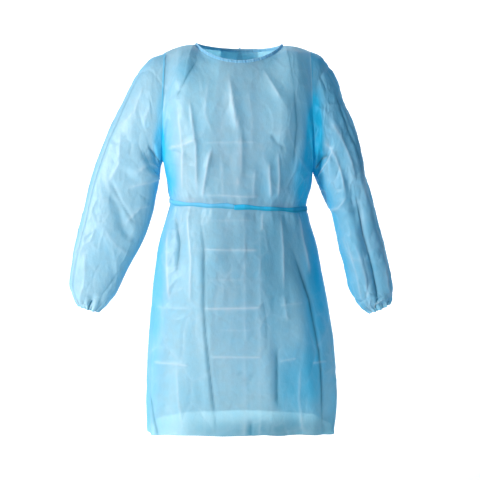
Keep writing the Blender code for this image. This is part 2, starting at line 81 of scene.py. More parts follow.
# How many rows the grids have, and where along a sleeve its cuff starts.
YOKE_ROWS = 96
SLEEVE_ROWS = 200
CUFF_ROWS = 20
CUFF_START = 0.93

BodySection = namedtuple("BodySection", "height right left front back squareness")
BODY_SECTIONS = rows_of(
    BodySection,
    (-1.105, -0.266, 0.272, -0.131, 0.144, 2.80),
    (-1.045, -0.268, 0.281, -0.133, 0.145, 2.75),
    (-0.950, -0.267, 0.280, -0.136, 0.146, 2.65),
    (-0.855, -0.264, 0.272, -0.138, 0.146, 2.50),
    (-0.760, -0.256, 0.257, -0.137, 0.144, 2.35),
    (-0.670, -0.249, 0.239, -0.132, 0.138, 2.20),
    (-0.575, -0.233, 0.218, -0.122, 0.126, 2.10),
    (-0.506, -0.214, 0.198, -0.111, 0.112, 2.10),
    (-0.462, -0.199, 0.190, -0.106, 0.105, 2.10),
    (-0.412, -0.206, 0.203, -0.114, 0.110, 2.35),
    (-0.340, -0.219, 0.208, -0.122, 0.115, 3.00),
)

# The large folds, as on the solids. Points are (x, z), the width is one flank's.
Fold = namedtuple("Fold", "points width height")
FRONT_FOLDS = rows_of(
    Fold,
    (((-0.031, -0.09), (0.0, -0.28), (-0.012, -0.43)), 0.018, 0.008),
    (((-0.168, -0.15), (-0.128, -0.28), (-0.122, -0.44)), 0.018, 0.008),
    (((-0.078, -0.3), (-0.104, -0.43)), 0.016, 0.006),
    (((0.07, -0.09), (0.118, -0.17), (0.12, -0.3)), 0.02, 0.007),
    (((0.15, -0.24), (0.138, -0.44)), 0.018, -0.007),
    (((0.075, -0.3), (0.086, -0.44)), 0.018, 0.006),
    (((-0.16, -0.47), (-0.168, -0.62)), 0.016, -0.01),
    (((-0.116, -0.48), (-0.103, -0.76), (-0.066, -1.15)), 0.02, 0.009),
    (((-0.022, -0.48), (-0.03, -0.62)), 0.018, -0.006),
    (((0.055, -0.48), (0.072, -0.8), (0.098, -1.15)), 0.022, 0.008),
    (((0.132, -0.5), (0.198, -0.74), (0.236, -1.15)), 0.02, -0.011),
    (((-0.205, -0.62), (-0.222, -0.85), (-0.225, -1.15)), 0.018, 0.008),
)
BACK_FOLDS = rows_of(
    Fold,
    (((-0.15, -0.16), (-0.128, -0.44)), 0.02, 0.008),
    (((0.142, -0.14), (0.118, -0.44)), 0.02, 0.008),
    (((-0.118, -0.48), (-0.15, -0.8), (-0.17, -1.15)), 0.024, 0.011),
    (((0.112, -0.48), (0.138, -0.8), (0.165, -1.15)), 0.024, 0.011),
    (((-0.175, -0.48), (-0.212, -0.75)), 0.018, -0.009),
    (((0.168, -0.48), (0.21, -0.75)), 0.018, -0.009),
)
FOLD_SHARE = 0.5  # The cloth takes this share of the solid's large folds.
HEM_FLUTES = {"count": 11, "depth": 0.005}
WAIST_GATHERS = {"count": 15, "depth": 0.003, "reach": 0.075}

# Creases are sharp lines in the cloth. Points are (x, z), and a crease stands out
# where its height is positive. Its lean makes the flank on the line's left wider.
Crease = namedtuple("Crease", "points width height lean", defaults=(0.0,))
FRONT_CREASES = rows_of(
    Crease,
    # Chest.
    (((-0.032, -0.085), (-0.019, -0.18), (0.0, -0.275), (0.0, -0.343),
      (-0.011, -0.43)), 0.005, 0.0042, 0.3),
    (((-0.074, -0.285), (-0.085, -0.324), (-0.106, -0.445)), 0.006, 0.0045, -0.3),
    (((0.062, -0.08), (0.085, -0.12), (0.114, -0.17)), 0.006, 0.0028, 0.2),
    (((-0.206, -0.3), (-0.16, -0.29), (-0.115, -0.272)), 0.005, 0.0035, 0.2),
    (((-0.195, -0.302), (-0.15, -0.312), (-0.118, -0.345)), 0.005, -0.002),
    (((-0.11, -0.045), (-0.142, -0.095), (-0.178, -0.165)), 0.016, -0.0036, 0.3),
    (((-0.14, -0.15), (-0.12, -0.29), (-0.118, -0.44)), 0.006, 0.0038, -0.2),
    (((-0.17, -0.18), (-0.158, -0.3), (-0.162, -0.43)), 0.007, 0.0034, 0.2),
    (((-0.085, -0.1), (-0.096, -0.2), (-0.07, -0.27)), 0.009, 0.0018),
    (((0.078, -0.33), (0.084, -0.44)), 0.006, 0.0032, 0.2),
    (((0.104, -0.3), (0.108, -0.38), (0.104, -0.445)), 0.006, 0.0036, -0.2),
    (((0.08, -0.255), (0.107, -0.289), (0.132, -0.3)), 0.006, -0.003),
    (((0.02, -0.13), (0.034, -0.22), (0.028, -0.3)), 0.01, 0.0014),
    (((0.15, -0.13), (0.158, -0.24), (0.15, -0.36)), 0.008, -0.004, 0.2),
    (((-0.05, -0.33), (-0.046, -0.44)), 0.008, 0.0016),
    (((0.04, -0.35), (0.036, -0.44)), 0.008, 0.002, 0.2),
    # Skirt.
    (((-0.112, -0.47), (-0.099, -0.574), (-0.1, -0.736), (-0.095, -0.815),
      (-0.084, -0.929), (-0.073, -1.02), (-0.067, -1.125)), 0.005, -0.0042, 0.4),
    (((0.14, -0.56), (0.17, -0.64), (0.198, -0.72), (0.227, -0.868),
      (0.234, -0.968), (0.238, -1.125)), 0.007, -0.0052, -0.3),
    (((0.102, -0.84), (0.103, -0.94), (0.104, -1.03)), 0.006, -0.0036, 0.4),
    (((-0.256, -0.99), (-0.23, -1.13)), 0.005, -0.004, 0.2),
    (((0.028, -1.05), (0.028, -1.125)), 0.004, -0.0032),
    (((-0.185, -0.475), (-0.17, -0.56), (-0.178, -0.66)), 0.008, -0.0046, 0.3),
    (((-0.15, -0.47), (-0.136, -0.6), (-0.14, -0.74)), 0.008, 0.0036),
    (((0.112, -0.47), (0.12, -0.58), (0.122, -0.7)), 0.007, 0.003),
    (((0.062, -0.47), (0.06, -0.53)), 0.006, 0.0028),
    (((0.162, -0.47), (0.176, -0.55), (0.2, -0.66)), 0.006, 0.0034, 0.2),
    (((0.06, -0.7), (0.074, -0.79), (0.072, -0.87)), 0.007, -0.002, 0.2),
    (((0.12, -0.7), (0.133, -0.78)), 0.006, 0.0022),
    (((-0.01, -0.905), (0.02, -0.955), (0.046, -0.91)), 0.006, -0.0022, 0.2),
    (((-0.205, -0.52), (-0.205, -0.62), (-0.196, -0.74)), 0.007, 0.0032, 0.2),
    (((-0.18, -0.9), (-0.172, -1.0), (-0.16, -1.09)), 0.009, 0.0022),
    (((0.17, -0.9), (0.166, -1.0), (0.178, -1.1)), 0.009, 0.002),
)
BACK_CREASES = rows_of(
    Crease,
    (((-0.15, -0.12), (-0.134, -0.26), (-0.126, -0.44)), 0.006, 0.0044, 0.2),
    (((0.146, -0.11), (0.13, -0.27), (0.118, -0.44)), 0.006, 0.0046, -0.2),
    (((-0.08, -0.16), (-0.09, -0.3), (-0.084, -0.44)), 0.008, -0.0026, 0.2),
    (((0.086, -0.19), (0.08, -0.31), (0.09, -0.44)), 0.008, -0.0024),
    (((-0.196, -0.3), (-0.14, -0.286), (-0.09, -0.3)), 0.006, 0.003),
    (((0.19, -0.32), (0.14, -0.296), (0.1, -0.29)), 0.006, 0.003),
    (((-0.112, -0.47), (-0.138, -0.7), (-0.16, -0.92), (-0.168, -1.125)), 0.006, 0.0048, 0.3),
    (((0.108, -0.47), (0.128, -0.7), (0.15, -0.92), (0.16, -1.125)), 0.006, 0.0046, -0.3),
    (((-0.066, -0.475), (-0.072, -0.62), (-0.06, -0.8)), 0.007, -0.0028),
    (((0.064, -0.475), (0.076, -0.64), (0.068, -0.78)), 0.007, -0.0028, 0.2),
    (((-0.195, -0.48), (-0.214, -0.64), (-0.224, -0.8)), 0.007, -0.004, 0.2),
    (((0.184, -0.48), (0.206, -0.64), (0.222, -0.8)), 0.007, -0.0042, 0.2),
    (((-0.21, -0.86), (-0.214, -1.0), (-0.222, -1.125)), 0.008, 0.003),
    (((0.216, -0.88), (0.224, -1.0), (0.228, -1.125)), 0.008, 0.003),
    (((-0.09, -0.96), (-0.096, -1.125)), 0.006, -0.003, 0.2),
    (((0.092, -0.94), (0.1, -1.125)), 0.006, -0.0028, 0.2),
)

# Creases from packing run level, one below the other, each from x to x.
PackCrease = namedtuple("PackCrease", "height start end tilt depth")
FRONT_PACKING = rows_of(
    PackCrease,
    (-0.281, -0.1, 0.05, 0.002, 0.0014),
    (-0.429, -0.104, 0.06, -0.004, 0.0018),
    (-0.497, -0.09, 0.04, 0.001, 0.0008),
    (-0.578, -0.104, 0.054, -0.002, 0.0022),
    (-0.66, -0.096, 0.02, 0.002, 0.0008),
    (-0.739, -0.104, 0.06, 0.004, 0.003),
    (-0.8, -0.06, 0.04, 0.002, 0.0008),
    (-0.876, -0.084, 0.064, 0.0, 0.0028),
    (-0.902, -0.244, -0.14, 0.0, 0.0024),
    (-0.886, 0.11, 0.16, 0.006, 0.0018),
    (-0.9, 0.205, 0.25, 0.0, 0.0016),
    (-0.745, -0.24, -0.13, 0.002, 0.001),
    (-0.73, 0.11, 0.18, 0.004, 0.0012),
)
BACK_PACKING = rows_of(
    PackCrease,
    (-0.285, -0.12, 0.11, 0.003, 0.0016),
    (-0.432, -0.13, 0.12, -0.003, 0.0014),
    (-0.582, -0.17, 0.16, 0.002, 0.0024),
    (-0.742, -0.2, 0.19, -0.003, 0.0026),
    (-0.884, -0.22, 0.22, 0.002, 0.0024),
    (-1.02, -0.18, 0.2, 0.002, 0.0012),
)
PackColumn = namedtuple("PackColumn", "place depth")
PACK_COLUMNS = (PackColumn(-0.100, 0.0004), PackColumn(0.013, 0.0010), PackColumn(0.055, 0.0007))
PACK_COLUMNS_BELOW = -0.50

# How creases look: how rounded their line is, how wide the painted highlight on a
# crest or the painted shade in a trough shows, how high the crease has to be for it
# to show in full, and the share of its length over which each end fades.
Look = namedtuple("Look", "roundness shown_width full_height fade")
CREST = Look(0.0012, 0.0022, 0.004, 0.22)
TROUGH = Look(0.0012, 0.0021, 0.006, 0.22)
PACKED = Look(0.0010, 0.0020, 0.003, 0.12)
PACKED_WIDTH = 0.0045
PACKED_COLUMN_WIDTH = 0.004
FOLD_FADE = 0.25

# A sleeve section is a ring across the arm, from its outer (x, z) point to its
# inner one. The armhole comes before the first of them, and the mouth is the last.
SleeveSection = namedtuple(
    "SleeveSection", "outer_x outer_z inner_x inner_z centre_y half_depth"
)
SLEEVE_SECTIONS = {
    "right": rows_of(
        SleeveSection,
        (-0.254, -0.053, -0.224, -0.356, -0.001, 0.070),
        (-0.298, -0.104, -0.227, -0.374, -0.002, 0.066),
        (-0.337, -0.182, -0.231, -0.400, -0.004, 0.062),
        (-0.387, -0.284, -0.239, -0.443, -0.008, 0.056),
        (-0.424, -0.386, -0.252, -0.498, -0.012, 0.052),
        (-0.448, -0.489, -0.278, -0.567, -0.018, 0.049),
        (-0.474, -0.590, -0.317, -0.639, -0.026, 0.047),
        (-0.486, -0.677, -0.353, -0.709, -0.034, 0.044),
        (-0.479, -0.712, -0.375, -0.737, -0.038, 0.041),
        (-0.469, -0.733, -0.391, -0.754, -0.041, 0.035),
        (-0.461, -0.745, -0.401, -0.764, -0.043, 0.029),
    ),
    "left": rows_of(
        SleeveSection,
        (0.237, -0.053, 0.212, -0.380, -0.001, 0.074),
        (0.274, -0.109, 0.220, -0.396, -0.002, 0.074),
        (0.304, -0.185, 0.230, -0.417, -0.004, 0.073),
        (0.341, -0.281, 0.246, -0.449, -0.008, 0.072),
        (0.362, -0.392, 0.261, -0.495, -0.012, 0.070),
        (0.390, -0.501, 0.274, -0.558, -0.018, 0.068),
        (0.420, -0.610, 0.292, -0.628, -0.026, 0.064),
        (0.435, -0.689, 0.310, -0.703, -0.034, 0.054),
        (0.436, -0.712, 0.324, -0.730, -0.038, 0.048),
        (0.433, -0.727, 0.344, -0.752, -0.041, 0.039),
        (0.428, -0.740, 0.366, -0.768, -0.043, 0.031),
    ),
}
CUFF_GATHER_DEPTH = 0.0021
CUFF_GATHERS = 12

# A sleeve's folds and creases lie at (turn, run): the turn goes from 0 at the
# outer line through a quarter at the front to a half at the inner line, and the
# run from 0 at the armhole to 1 at the cuff. A crease's width is in metres.
SLEEVE_FOLDS = {
    "right": rows_of(
        Fold,
        (((0.06, 0.1), (0.1, 0.5), (0.08, 0.9)), 0.04, 0.004),
        (((0.42, 0.1), (0.3, 0.3)), 0.04, -0.009),
        (((0.46, 0.22), (0.24, 0.38)), 0.04, 0.009),
        (((0.2, 0.44), (0.36, 0.56)), 0.04, -0.007),
        (((0.28, 0.74), (0.26, 0.94)), 0.035, -0.007),
        (((0.7, 0.1), (0.64, 0.42)), 0.04, 0.008),
        (((0.62, 0.46), (0.8, 0.6)), 0.04, -0.008),
    ),
    "left": rows_of(
        Fold,
        (((0.1, 0.14), (0.14, 0.52), (0.1, 0.88)), 0.04, 0.006),
        (((0.4, 0.08), (0.28, 0.26)), 0.04, -0.009),
        (((0.3, 0.1), (0.24, 0.45), (0.22, 0.84)), 0.035, -0.007),
        (((0.44, 0.4), (0.26, 0.5)), 0.04, 0.006),
        (((0.7, 0.1), (0.64, 0.42)), 0.04, 0.008),
        (((0.6, 0.46), (0.8, 0.62)), 0.04, -0.008),
    ),
}
SLEEVE_CREASES = {
    "right": rows_of(
        Crease,
        (((0.075, 0.08), (0.09, 0.3), (0.1, 0.6), (0.12, 0.92)), 0.005, -0.0036, 0.3),
        (((0.44, 0.06), (0.36, 0.16), (0.3, 0.22)), 0.006, -0.005, 0.2),
        (((0.46, 0.12), (0.34, 0.26), (0.28, 0.36)), 0.006, 0.0048),
        (((0.47, 0.22), (0.38, 0.32), (0.26, 0.42)), 0.006, 0.0044, 0.2),
        (((0.18, 0.42), (0.26, 0.46), (0.36, 0.5)), 0.005, -0.0048, 0.3),
        (((0.44, 0.4), (0.36, 0.44), (0.3, 0.52)), 0.006, 0.0032),
        (((0.14, 0.3), (0.2, 0.37), (0.18, 0.44)), 0.007, 0.0028),
        (((0.2, 0.54), (0.3, 0.58), (0.42, 0.6)), 0.007, 0.0022),
        (((0.16, 0.62), (0.2, 0.72), (0.17, 0.84)), 0.007, 0.002),
        (((0.4, 0.64), (0.34, 0.74), (0.36, 0.86)), 0.007, -0.002),
        (((0.29, 0.8), (0.27, 0.9), (0.26, 1.02)), 0.006, -0.008, 0.2),
        (((0.22, 0.88), (0.2, 1.0)), 0.005, 0.003),
        (((0.14, 0.12), (0.17, 0.22), (0.13, 0.3)), 0.008, 0.0028),
        (((0.22, 0.1), (0.24, 0.2)), 0.008, 0.003),
        (((0.9, 0.1), (0.86, 0.3), (0.9, 0.48)), 0.006, 0.0036, 0.2),
        (((0.56, 0.1), (0.64, 0.22), (0.72, 0.3)), 0.006, -0.0046, 0.2),
        (((0.56, 0.3), (0.68, 0.4), (0.78, 0.44)), 0.006, 0.0042),
        (((0.6, 0.48), (0.72, 0.54), (0.82, 0.6)), 0.006, -0.004, 0.2),
        (((0.86, 0.56), (0.8, 0.7), (0.84, 0.88)), 0.007, 0.003),
        (((0.66, 0.66), (0.7, 0.8), (0.72, 0.98)), 0.006, -0.0036, 0.2),
    ),
    "left": rows_of(
        Crease,
        (((0.2, 0.42), (0.22, 0.56), (0.22, 0.72), (0.24, 0.86)), 0.005, -0.0052, 0.3),
        (((0.22, 0.8), (0.3, 0.97)), 0.006, -0.006),
        (((0.16, 0.82), (0.28, 0.9), (0.3, 0.97)), 0.005, 0.0036),
        (((0.44, 0.05), (0.36, 0.14), (0.3, 0.24)), 0.006, -0.0054, 0.2),
        (((0.46, 0.14), (0.34, 0.22), (0.26, 0.26)), 0.006, 0.004),
        (((0.46, 0.42), (0.36, 0.44), (0.27, 0.43)), 0.005, 0.0034),
        (((0.3, 0.14), (0.27, 0.28), (0.29, 0.44)), 0.006, 0.0044, 0.2),
        (((0.23, 0.16), (0.2, 0.28), (0.19, 0.42)), 0.006, 0.004, -0.2),
        (((0.12, 0.16), (0.14, 0.3), (0.12, 0.44)), 0.005, -0.0036, 0.2),
        (((0.08, 0.3), (0.1, 0.4), (0.16, 0.5)), 0.005, 0.0032),
        (((0.36, 0.54), (0.34, 0.7), (0.36, 0.84)), 0.007, 0.0026),
        (((0.3, 0.56), (0.28, 0.68), (0.3, 0.8)), 0.007, 0.0024, 0.2),
        (((0.1, 0.56), (0.13, 0.72), (0.09, 0.88)), 0.006, 0.0036, 0.2),
        (((0.1, 0.9), (0.14, 1.0)), 0.005, -0.0036),
        (((0.9, 0.1), (0.86, 0.3), (0.9, 0.48)), 0.006, 0.0036, 0.2),
        (((0.56, 0.08), (0.64, 0.2), (0.72, 0.3)), 0.006, -0.0046, 0.2),
        (((0.56, 0.3), (0.66, 0.4), (0.76, 0.44)), 0.006, 0.004),
        (((0.58, 0.5), (0.7, 0.56), (0.8, 0.64)), 0.006, -0.004, 0.2),
        (((0.86, 0.6), (0.8, 0.74), (0.84, 0.9)), 0.007, 0.003),
    ),
}

# Broad patches on the front: how much deeper in colour the cloth is there, partly
# where it is bunched into several layers and partly as painted shade, and how much
# darker it is by painted shade.
Patch = namedtuple("Patch", "x z half_width half_height depth shade", defaults=(0.0,))
PATCHES = rows_of(
    Patch,
    (0.206, -0.275, 0.023, 0.125, 1.3, 0.05),
    (0.176, -0.39, 0.03, 0.09, 0.95),
    (-0.194, -0.37, 0.022, 0.09, 0.6),
    (0.09, -0.385, 0.055, 0.08, 0.25, 0.18),
    (-0.226, -0.29, 0.016, 0.055, 1.1, 0.05),
    (-0.222, -0.205, 0.01, 0.06, 0.5),
    (-0.16, -0.075, 0.035, 0.04, 0.3, 0.1),
    (-0.085, -0.04, 0.035, 0.022, 0.3, 0.05),
    (0.085, -0.04, 0.035, 0.022, 0.2),
    (0.16, -0.96, 0.07, 0.1, 0.6, 0.2),
    (0.215, -0.76, 0.036, 0.26, 0.65),
    (0.08, -1.095, 0.22, 0.045, 0.05, 0.8),
    (-0.235, -0.7, 0.028, 0.26, 0.3),
    (-0.225, -0.43, 0.02, 0.06, 0.5),
    (0.1, -0.6, 0.12, 0.17, 0.2, 0.36),
    (-0.02, -0.64, 0.095, 0.2, 0.05, 0.1),
    (-0.03, -0.37, 0.1, 0.1, 0.0, 0.1),
)

# Small crumples: how far apart their creases lie, and how high they stand.
Crumple = namedtuple("Crumple", "size height seed")
CRUMPLES = rows_of(
    Crumple,
    ((0.085, 0.085, 0.150), 0.0034, 17),
    ((0.045, 0.045, 0.065), 0.0024, 23),
    ((0.022, 0.022, 0.028), 0.0010, 37),
)

# How much of those crumples each part of the gown takes, how sharp their net of
# creases is, and how strongly its lines show as painted highlight.
NET_SHARPNESS = 0.13
CRUMPLE_LINES = 0.35
CRUMPLE_SHARE = {"body": 0.60, "right": 0.62, "left": 1.45}

# The cloth is deeper in colour where a seam's allowance lies under it. Along the
# body's sides and the sleeves' edges a deeper colour is painted in, standing in for
# the deeper look the cloth has where it is seen aslant. The left sleeve has painted
# shade all over, deeper and darker, and the right sleeve is painted paler all over,
# as painted light.
PAINTED_SIDE_DEPTH = 0.55
SEAM_DEPTH = 0.6
SLEEVE_PAINTED_SHADE = {"right": 0.0, "left": 0.40}
SLEEVE_PAINTED_LIGHT = {"right": 0.20, "left": 0.0}

# A sleeve's girth and length, in which its creases' widths are metres.
SLEEVE_SPAN = (0.42, 0.76)

# The ties: knot sizes and the way the knots face, and how far each tail reaches
# down the back.
Tie = namedtuple("Tie", "knot facing top bottom apart lean width lift")
TIES = {
    "waist": Tie((0.0230, 0.0105, 0.0200), (0.0, 1.0, 0.08), -0.4735, -0.752, 0.0056, 0.034, 0.017, 0.0030),
    "neck": Tie((0.0115, 0.0065, 0.0095), (0.0, 0.9, 0.42), -0.0290, -0.151, 0.0028, 0.016, 0.0068, 0.0026),
}
TAIL_POINTS = 60
TAIL_THICKNESS = 0.0012
TAIL_DEPTH = 0.25
KNOT_POINTS = 144
KNOT_THICKNESS = 0.0022

# The belt's width as it shows, how far up each half lies at the join, and how deep
# in colour it is.
BELT_SHOWN = 0.0125
BELT_THICKNESS = 0.0014
BELT_POINTS = 260
JOIN_STEP = {"right": 0.0014, "left": -0.0016}
BELT_DEPTH = {"right": 0.55, "left": 1.0}

# One half of the neck binding's section: how high each of its rows lies, how far it
# stands out as a share, and how much it puckers. The other half mirrors it.
BindingRow = namedtuple("BindingRow", "height stand pucker")
BINDING_HALF = rows_of(
    BindingRow,
    (-0.0020, 1.0, 0.2),
    (-0.0005, 1.0, 0.8),
    (0.0018, 1.0, 1.0),
    (0.0042, 1.0, 1.0),
    (0.0060, 0.9, 0.7),
    (0.0070, 0.45, 0.3),
)
BINDING_FOLD = BindingRow(0.0072, 0.0, 0.2)
BINDING_POINTS = 420
BINDING_STITCH = 0.0010

# What each sheet carries to its material: where it is creased, which paints a
# highlight on its crests; where it is deep in colour, as doubled cloth and as painted
# deeper colour; and where painted shade darkens it.
MARKS = ("creased", "doubled", "shaded")
Sheet = namedtuple("Sheet", "plain lift creased doubled shaded")


def smooth_step(t):
    t = np.clip(t, 0.0, 1.0)
    return t * t * (3.0 - 2.0 * t)


def power(value, exponent):
    return np.sign(value) * np.abs(value) ** exponent


def rounded_off(distance, radius):
    return np.sqrt(distance**2 + radius**2) - radius


def faded_ends(share, fade):
    """1 along the middle of a line and 0 at its ends."""
    return smooth_step(share / fade) * smooth_step((1 - share) / fade)


def unit(vectors):
    return vectors / np.maximum(np.linalg.norm(vectors, axis=-1), 1e-12)[..., None]


def smooth_through(knots, values, at):
    """A curve through the values whose slopes are those of its neighbours."""
    slopes = np.gradient(values, knots)
    i = np.clip(np.searchsorted(knots, at, side="right") - 1, 0, len(knots) - 2)
    span = knots[i + 1] - knots[i]
    t = np.clip((at - knots[i]) / span, 0.0, 1.0)
    return (
        (2 * t**3 - 3 * t**2 + 1) * values[i]
        + (t**3 - 2 * t**2 + t) * span * slopes[i]
        + (3 * t**2 - 2 * t**3) * values[i + 1]
        + (t**3 - t**2) * span * slopes[i + 1]
    )


def sizes_at(table, knots, at):
    """Every column of the table, as one curve each, read at the given places."""
    columns = np.array(table, float).T
    return {
        name: smooth_through(knots, column, at)
        for name, column in zip(table[0]._fields, columns)
    }


def from_seam(angle):
    """How far a place is from the nearer side seam, round the body."""
    return np.minimum(angle, np.pi - angle)


def between_sides(sizes, angle):
    """A size that changes from the right side to the left one, round the body."""
    return sizes["right"] + (sizes["left"] - sizes["right"]) * (1 - np.cos(angle)) / 2


def skirt_ring(facing, angle, height):
    """Below the underarms. The angle is 0 at the right side seam and pi at the left."""
    knots = np.array([section.height for section in BODY_SECTIONS])
    at = sizes_at(BODY_SECTIONS, knots, height)
    exponent = 2.0 / at["squareness"]
    middle = (at["right"] + at["left"]) / 2
    half_width = (at["left"] - at["right"]) / 2
    depth = at["front"] if facing == "front" else at["back"]
    across = middle - half_width * power(np.cos(angle), exponent)
    deep = depth * np.maximum(np.sin(angle), 0.0) ** exponent
    return np.stack(np.broadcast_arrays(across, deep, height), axis=-1)


def shoulder_seam(angle):
    along = np.clip(from_seam(angle) / NECK_ANGLE, 0, 1)[..., None]
    on_left = (angle > np.pi / 2)[..., None]
    shoulder = np.where(on_left, SHOULDER_POINT["left"], SHOULDER_POINT["right"])
    neck = np.where(on_left, NECK_POINT["left"], NECK_POINT["right"])
    seam = shoulder + (neck - shoulder) * along
    seam[..., 2] += 0.005 * np.sin(np.pi * along[..., 0])
    return seam


def neckline(facing, angle):
    shape = NECK_FRONT if facing == "front" else NECK_BACK
    turn = (angle - NECK_ANGLE) / (np.pi - 2 * NECK_ANGLE)
    turn = np.pi * np.clip(turn, 0, 1)
    right, left = (np.array(NECK_POINT[side]) for side in ("right", "left"))
    share = 0.82 * (1 - np.cos(turn)) / 2 + 0.18 * turn / np.pi
    line = right + (left - right) * share[..., None]
    line[..., 1] += shape["reach"] * np.sin(turn)
    line[..., 2] -= shape["drop"] * np.sin(turn) ** shape["bend"]
    return line


def yoke_ring(facing, angle, climb):
    """Above the underarms: climb is 0 at their height, and 1 at the top edge."""
    base = skirt_ring(facing, angle, between_sides(UNDERARM_Z, angle))
    on_neck = (from_seam(angle) >= NECK_ANGLE - 1e-9)[..., None]
    top = np.where(on_neck, neckline(facing, angle), shoulder_seam(angle))
    turned = np.pi / 2 * (1 - 0.4 * smooth_step((from_seam(angle) - NECK_ANGLE) / 0.6))
    away = smooth_step(np.sin(angle) / 0.5)
    round_share = (1 - np.cos(np.pi * climb)) / 2
    rise = round_share + (np.sin(turned * climb) / np.sin(turned) - round_share) * away
    turn_in = (1 - np.cos(turned * climb)) / (1 - np.cos(turned))
    turn_in = round_share + (turn_in - round_share) * away
    armhole = -ARMHOLE_HALF_DEPTH if facing == "front" else ARMHOLE_HALF_DEPTH
    middle = CHEST_FRONT if facing == "front" else CHEST_BACK
    chest = armhole + (middle - armhole) * np.maximum(np.sin(angle), 0.0) ** 1.3
    unarched = base[..., 1] + (top - base)[..., 1] * (0.5 - 0.22 * away)
    arch = np.sin(np.pi * climb) ** 0.9 * (1 - away)
    arch = arch + np.sin(np.pi * climb**1.25) * away
    bulge = (chest - unarched) * arch
    lean = round_share + (climb - round_share) * away
    shares = np.stack(np.broadcast_arrays(lean, turn_in, rise), axis=-1)
    point = base + (top - base) * shares
    point[..., 1] += bulge
    return point


def body_point(facing, angle, level):
    """The body before folds: level 0 is the hem, 1 the underarms and 2 the top."""
    angle, level = np.broadcast_arrays(angle, level)
    underarm = between_sides(UNDERARM_Z, angle)
    hem = HEM_Z - HEM_DIP * np.cos(angle) ** 4
    height = hem + (underarm - hem) * np.clip(level, 0, 1)
    below = skirt_ring(facing, angle, height)
    above = yoke_ring(facing, angle, np.clip(level - 1.0, 0, 1))
    return np.where((level <= 1.0)[..., None], below, above)


def fold_heights(folds, across, along, lap=None):
    """How far the folds lift the cloth. Across comes round again after one lap."""
    total = np.zeros(np.broadcast(across, along).shape)
    for fold in folds:
        line = np.array(sorted(fold.points, key=lambda point: point[1]))
        low, high = line[0, 1], line[-1, 1]
        away = across - np.interp(along, line[:, 1], line[:, 0])
        if lap:
            away = (away + lap / 2) % lap - lap / 2
        ends = faded_ends((along - low) / (high - low), FOLD_FADE)
        total += fold.height * ends * np.exp(-((away / fold.width) ** 2))
    return total


def whole_turn(facing, angle):
    """The angle all round the body: the back's goes on from the front's."""
    return angle if facing == "front" else 2 * np.pi - angle


def near_belt(level):
    """How far a place is from the belt's middle line, up or down the cloth."""
    return np.abs(level - BELT_LEVEL) * (UNDERARM_Z["right"] - HEM_Z)


def pressed_by_belt(level):
    return 1 - smooth_step((near_belt(level) - 0.4 * BELT_WIDTH) / BELT_WIDTH)


def body_lift(facing, angle, level, point):
    """How far folds, waist gathers and hem flutes move the cloth outwards."""
    folds = FRONT_FOLDS if facing == "front" else BACK_FOLDS
    lift = FOLD_SHARE * fold_heights(folds, point[..., 0], point[..., 2])
    lift *= smooth_step(np.sin(angle) / 0.35)
    turn = whole_turn(facing, angle)
    gathered = 1 - smooth_step(near_belt(level) / WAIST_GATHERS["reach"])
    waves = np.cos(WAIST_GATHERS["count"] * turn + 0.6)
    lift += WAIST_GATHERS["depth"] * gathered * waves
    skirt = 1 - smooth_step(level / 0.6)
    flutes = np.cos(HEM_FLUTES["count"] * turn + 0.4 + 0.9 * np.sin(2 * turn))
    lift += HEM_FLUTES["depth"] * skirt * flutes
    from_top = smooth_step((2.0 - level) / 0.25)
    return lift * (1 - 0.6 * pressed_by_belt(level)) * from_top


def overlap_layer(angle):
    """The right back panel lies outside the left one where they overlap."""
    return LAYER_STEP * smooth_step((angle - NECK_ANGLE) / 0.5)


def sleeve_sections(side):
    """The sleeve's sections, with the armhole's edge on the body as the first."""
    angle = 0.0 if side == "right" else np.pi
    shoulder = SHOULDER_POINT[side]
    underarm = skirt_ring("front", np.array(angle), np.array(UNDERARM_Z[side]))
    armhole = SleeveSection(
        shoulder[0], shoulder[2], underarm[0], underarm[2], 0.0, ARMHOLE_HALF_DEPTH
    )
    return (armhole, *SLEEVE_SECTIONS[side])


def sleeve_point(side, turn, run):
    """A sleeve before folds: run 0 is the armhole and turn 0 is the outer line."""
    sections = sleeve_sections(side)
    at = sizes_at(sections, np.linspace(0, 1, len(sections)), run)
    swing = 2 * np.pi * turn
    near = (1 + np.cos(swing)) / 2
    across = at["inner_x"] + (at["outer_x"] - at["inner_x"]) * near
    height = at["inner_z"] + (at["outer_z"] - at["inner_z"]) * near
    deep = at["centre_y"] - at["half_depth"] * power(np.sin(swing), 0.9)
    return np.stack([across, deep, height], axis=-1)


def sleeve_lift(side, turn, run):
    """How far folds move a sleeve's cloth outwards, and the gathers at its cuff."""
    folds = fold_heights(SLEEVE_FOLDS[side], turn, run, lap=1.0)
    pulled_in = smooth_step((run - 0.76) / 0.16)
    gathers = CUFF_GATHER_DEPTH * np.cos(2 * np.pi * CUFF_GATHERS * turn)
    return folds * smooth_step(run / 0.08) * (1 - 0.6 * pulled_in) + gathers * pulled_in


def chance(cell, seed):
    """An even number from 0 to 1 for each whole-numbered cell, always the same."""
    mixed = cell[..., 0] * 374761393 + cell[..., 1] * 668265263
    mixed = (mixed + cell[..., 2] * 1103515245 + seed * 362437) & 0xFFFFFFFF
    mixed = ((mixed ^ (mixed >> 13)) * 1274126177) & 0xFFFFFFFF
    return ((mixed ^ (mixed >> 16)) & 0xFFFF) / 65535.0


def soft_noise(points, seed):
    """Smooth ups and downs from -1 to 1, about one for each unit of length."""
    cell = np.floor(points).astype(np.int64)
    t = points - cell
    t = t * t * t * (t * (6 * t - 15) + 10)
    total = 0.0
    for corner in np.ndindex(2, 2, 2):
        corner = np.array(corner)
        share = np.prod(np.where(corner, t, 1 - t), axis=-1)
        total = total + share * chance(cell + corner, seed)
    return 2 * total - 1


